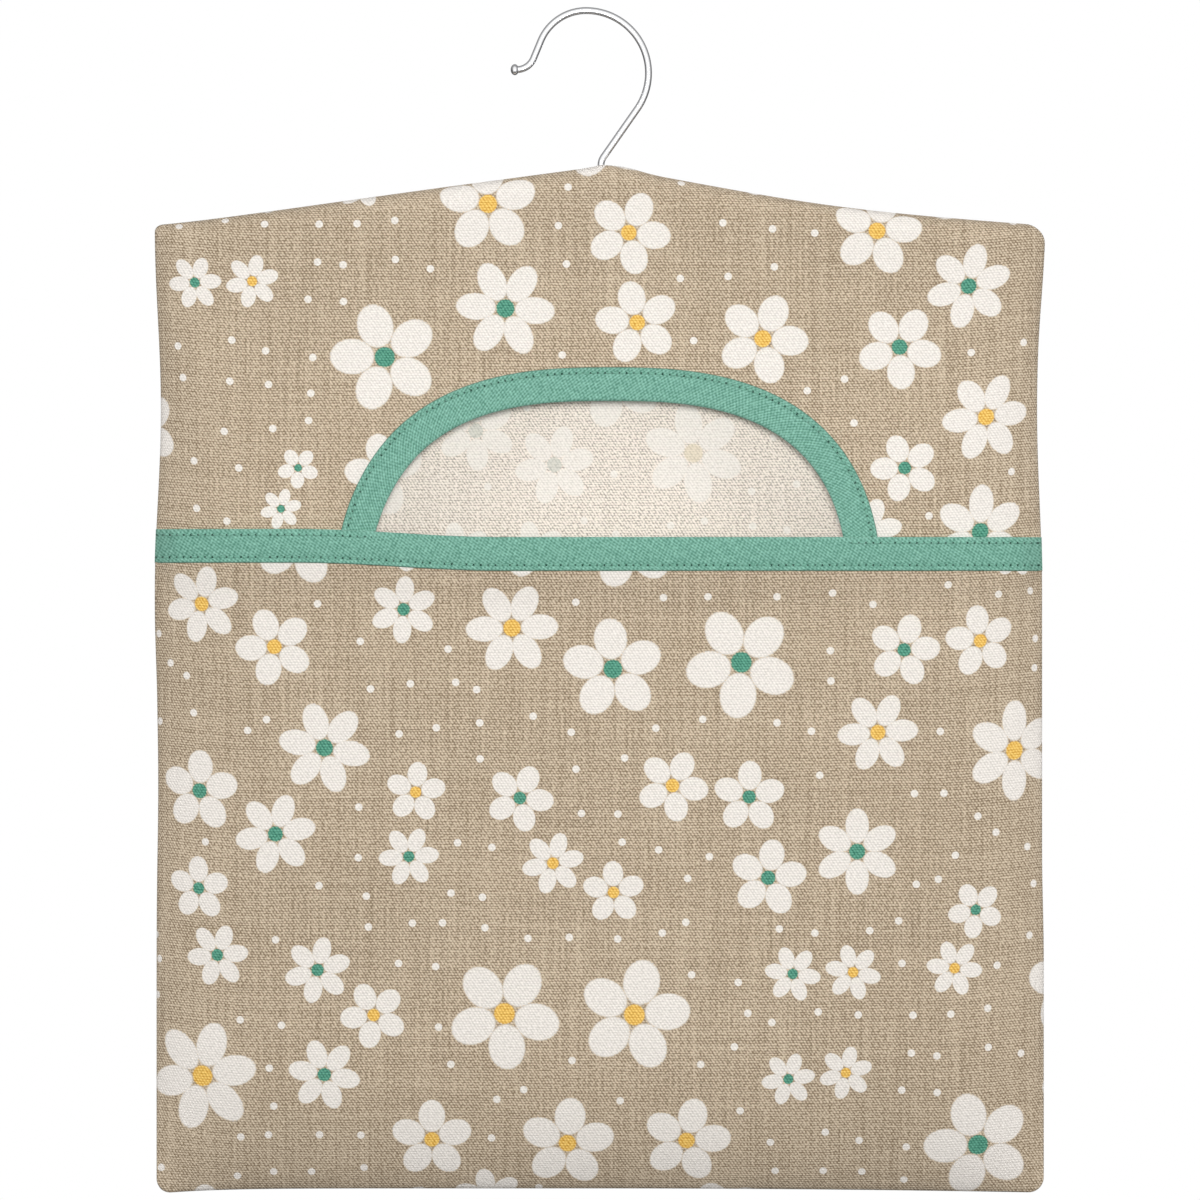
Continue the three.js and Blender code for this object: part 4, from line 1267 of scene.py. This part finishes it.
def hook_line():
    """The wire's centreline from its swaged end to its tip. Its stretches are drawn in X and Z."""
    crown = np.array([CROWN_X, -math.sqrt((CROWN_RADIUS - WIRE_RADIUS) ** 2 - CROWN_X**2)])
    slant_top = crown + CROWN_RADIUS * np.array([math.cos(SLANT), -math.sin(SLANT)])
    neck_z = slant_top[1] - slant_top[0] / math.tan(SLANT) - NECK_RADIUS * math.tan(SLANT / 2)
    shank = np.linspace((0, hook_low.z + HEAD_HEIGHT / 2), (0, neck_z), SHANK_POINTS)
    bend = arc((NECK_RADIUS, neck_z), NECK_RADIUS, math.pi, math.pi - SLANT)
    slant = np.linspace(bend[-1], slant_top, SLANT_POINTS)
    over = arc(crown, CROWN_RADIUS, -SLANT, math.pi / 2)
    front_end = math.pi / 2 + FRONT_SWEEP
    front = arc(crown + [0, CROWN_RADIUS - FRONT_RADIUS], FRONT_RADIUS, math.pi / 2, front_end)
    down = np.array([-math.sin(front_end), math.cos(front_end)])
    straight = front[-1] + np.linspace(0, FRONT_STRAIGHT, FRONT_POINTS)[:, None] * down
    centre = straight[-1] + TIP_RADIUS * np.array([down[1], -down[0]])
    start = math.atan2(*(straight[-1] - centre)[::-1])
    tip = arc(centre, TIP_RADIUS, start, start - TIP_TURN)
    out = np.array([math.sin(start - TIP_TURN), -math.cos(start - TIP_TURN)])
    end = tip[-1] + np.linspace(0, TIP_STRAIGHT, END_POINTS)[:, None] * out
    line = np.vstack([shank, bend[1:], slant[1:], over[1:], front[1:], straight[1:], tip[1:], end[1:]])
    return np.stack([line[:, 0], 0 * line[:, 0], line[:, 1]], -1)


def make_hook():
    """The bent wire with its ball tip, and the swaged head on its lower end."""
    line = hook_line()
    along = line[-1] - line[-2]
    along /= np.linalg.norm(along)
    shaft = line[: 1 - END_POINTS]
    angle = np.linspace(*BALL_ANGLES, BALL_POINTS)
    ball = line[-1] - (np.cos(angle)[:, None] * BALL_LENGTH - BALL_SHIFT) * along
    radius = np.concatenate([np.full(len(shaft), WIRE_RADIUS), BALL_RADIUS * np.sin(angle)])
    wire = tube(np.vstack([shaft, ball]), radius, WIRE_SIDES)
    across, up = np.array(HEAD_PROFILE).T
    stem = np.stack([0 * up, 0 * up, hook_low.z + up * HEAD_HEIGHT], -1)
    points, faces = joined([wire, tube(stem, across * HEAD_RADIUS, HEAD_SIDES)])
    piece = mesh_object("wire_hook", points, faces, [BRIGHT_WIRE])
    return dress(piece, "hook", body="hook")


# Hanger
HANGER_MIDDLE = 30 * MM
HANGER_END = 16 * MM
HANGER_ROUNDNESS = 0.55
HANGER_END_ROUNDNESS = 0.6
HANGER_STATIONS = 61
HANGER_END_STATIONS = 9
HANGER_END_ANGLES = (0.12, math.pi / 2 - 0.05)
HANGER_SIDES = 32
BORE_RADIUS = 1.5 * MM
COUNTERBORE_RADIUS = 4.75 * MM
BORE_SIDES = 40
BORE_PAST = 1 * MM
WASHER_CLEARANCE = 0.3 * MM


def drill(piece, radius, low, high):
    """Cuts an upright hole on the swivel axis."""
    points, faces = tube([(0, 0, low), (0, 0, (low + high) / 2), (0, 0, high)], radius, BORE_SIDES)
    bit = mesh_object("drill_bit", points, faces)
    cut = piece.modifiers.new("hole", "BOOLEAN")
    cut.operation = "DIFFERENCE"
    cut.solver = "EXACT"
    cut.object = bit
    bpy.context.view_layer.update()
    made = bpy.data.meshes.new_from_object(piece.evaluated_get(bpy.context.evaluated_depsgraph_get()))
    piece.modifiers.clear()
    piece.data = made
    bpy.data.objects.remove(bit)


def make_hanger():
    """A rounded bar that follows the shoulders, bored for the hook and counterbored for its washer."""
    end = HANGER_END / 2
    straight = (hanger_high.x - hanger_low.x) / 2 - end
    ends = straight + end * np.sin(np.linspace(*HANGER_END_ANGLES, HANGER_END_STATIONS))
    x = np.concatenate([-ends[::-1], np.linspace(-1, 1, HANGER_STATIONS) * straight, ends])
    depth = HANGER_MIDDLE + (HANGER_END - HANGER_MIDDLE) * ease(np.abs(x) / straight, 0, 1)
    past = np.clip(np.abs(x) - straight, 0, end)
    shrink = np.sqrt(1 - (past / end) ** 2)
    middle = shoulder_line(np.clip(x, -straight, straight)) - HANGER_COVER - depth / 2
    angle = np.linspace(0, 2 * np.pi, HANGER_SIDES, endpoint=False)
    full = lambda t: np.sign(t) * np.abs(t) ** HANGER_ROUNDNESS
    y = HANGER_HALF * full(np.cos(angle))[None] * shrink[:, None] ** HANGER_END_ROUNDNESS
    z = middle[:, None] + 0.5 * (depth * shrink)[:, None] * full(np.sin(angle))[None]
    points = np.stack(np.broadcast_arrays(x[:, None], y, z), -1).reshape(-1, 3)
    index = np.arange(len(points)).reshape(len(x), HANGER_SIDES)
    faces = [face[::-1] for face in sweep_faces(index)]
    piece = mesh_object("wooden_hanger", points, faces, [BEECH])
    low = hanger_low.z - BORE_PAST
    drill(piece, BORE_RADIUS, low, hanger_high.z + BORE_PAST)
    drill(piece, COUNTERBORE_RADIUS, low, washer_high.z + WASHER_CLEARANCE)
    return dress(piece, "hanger_bar")


# Stage: pale floor, soft lamps, white surroundings and the photograph's camera
FLOOR_DROP = 70 * MM
FLOOR_RADIUS = 0.55
FLOOR_SIDES = 128
FLOOR_CLOUDS = 3.0
FLOOR_GLOW = 0.87
FLOOR_MIRRORED = 0.03
CAMERA_LENS = 240
SENSOR = 36
AMBIENT = 0.14
BAND_HEIGHTS = (-0.4, 0.5)
BAND_LIGHT = (0.06, 0.34)
BAND_FRONT = (-0.75, -0.05)
BAND_BACK = (0.93, 0.99)
BAG_MIDDLE = (0, 0, (PEAK + BOTTOM) / 2)

# Each lamp's name, place, size and power, and whether metal mirrors it
LAMPS = (
    ("key", (0.03, -1.0, -0.05), 0.2, 6.3, True),
    ("fill", (-0.05, -2.2, -0.2), 0.5, 9, True),
    ("top", (0.1, -0.35, 1.3), 0.8, 8, False),
    ("left", (-1.6, -0.3, -0.2), 0.8, 8, False),
    ("right", (1.6, -0.3, -0.2), 0.8, 9, False),
    ("back", (0.5, 2.2, 0.6), 1.2, 60, False),
)


def ray_kinds(nodes):
    """Masks for what the camera sees, directly and through clear things, and for what is mirrored."""
    rays = nodes.node("LightPath")
    seen = nodes.most(nodes.read(rays, "Is Camera Ray"), nodes.read(rays, "Is Transmission Ray"))
    return seen, nodes.read(rays, "Is Glossy Ray")


def make_stage():
    floor = Surface("pale_floor", roughness=0.8, emission_color=grey(1.0))
    seen, mirrored = ray_kinds(floor)
    glow = floor.most(seen, mirrored * FLOOR_MIRRORED) * FLOOR_GLOW
    floor.put(floor.shader.inputs["Emission Strength"], glow)
    floor.finish(floor.mix(floor.noise(floor.place(), FLOOR_CLOUDS), grey(0.12), grey(0.14)))
    angle = np.linspace(0, 2 * np.pi, FLOOR_SIDES, endpoint=False)
    rim = np.stack([FLOOR_RADIUS * np.cos(angle), FLOOR_RADIUS * np.sin(angle), 0 * angle], -1)
    plane = mesh_object("floor", rim, [range(FLOOR_SIDES)], [floor.material])
    plane.location.z = BOTTOM - FLOOR_DROP


def make_world():
    """White all round for the camera. Metal mirrors white in front and behind, and a dim band between."""
    world = bpy.data.worlds.new("studio")
    bpy.context.scene.world = world
    world.use_nodes = True
    s = Nodes(world.node_tree)
    _, behind, up = s.parts(s.value("TexCoord", output="Generated"))
    dim = s.scale(up, *BAND_HEIGHTS, *BAND_LIGHT)
    band = s.step(behind, *BAND_FRONT) - s.step(behind, *BAND_BACK)
    seen, mirrored = ray_kinds(s)
    level = s.most(seen, mirrored * s.scale(band, 0.0, 1.0, 1.0, dim), AMBIENT)
    sky = world.node_tree.nodes["Background"]
    s.put(sky.inputs["Strength"], level)
    s.put(sky.inputs["Color"], grey(1.0))


def make_lamps():
    for name, place, size, power, mirrored in LAMPS:
        lamp = bpy.data.lights.new(name, "AREA")
        lamp.size = size
        lamp.energy = power
        holder = bpy.data.objects.new(name, lamp)
        holder.visible_glossy = mirrored
        holder.location = place
        holder.rotation_euler = (Vector(BAG_MIDDLE) - Vector(place)).to_track_quat("-Z", "Y").to_euler()
        bpy.context.scene.collection.objects.link(holder)


def make_camera():
    data = bpy.data.cameras.new("photo_camera")
    data.lens = CAMERA_LENS
    data.sensor_width = SENSOR
    camera = bpy.data.objects.new("photo_camera", data)
    width = 2 * PHOTO_MIDDLE * PIXEL
    distance = width * CAMERA_LENS / SENSOR
    x = (PHOTO_MIDDLE - HANG_PIXEL[0]) * PIXEL
    z = (HANG_PIXEL[1] - PHOTO_MIDDLE) * PIXEL
    camera.location = (x, -distance, z)
    camera.rotation_euler = (math.pi / 2, 0, 0)
    bpy.context.scene.collection.objects.link(camera)
    bpy.context.scene.camera = camera


make_camera()
make_stage()
make_world()
make_lamps()

back = make_back()
lower = make_lower_front()
upper = make_upper_front()
mouth_tape = make_mouth_binding()
crossbar_tape = make_crossbar()
make_stitching()
make_seams()
make_lap_overlocks()
make_hook()
make_hanger()
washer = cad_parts["swivel_washer"]
washer.data.materials.clear()
washer.data.materials.append(zinc_plate())

# Length of the mouth's arch
mouth_length = arch_curve(0, 2)[3][-1]

bpy.context.scene.view_settings.view_transform = "Standard"
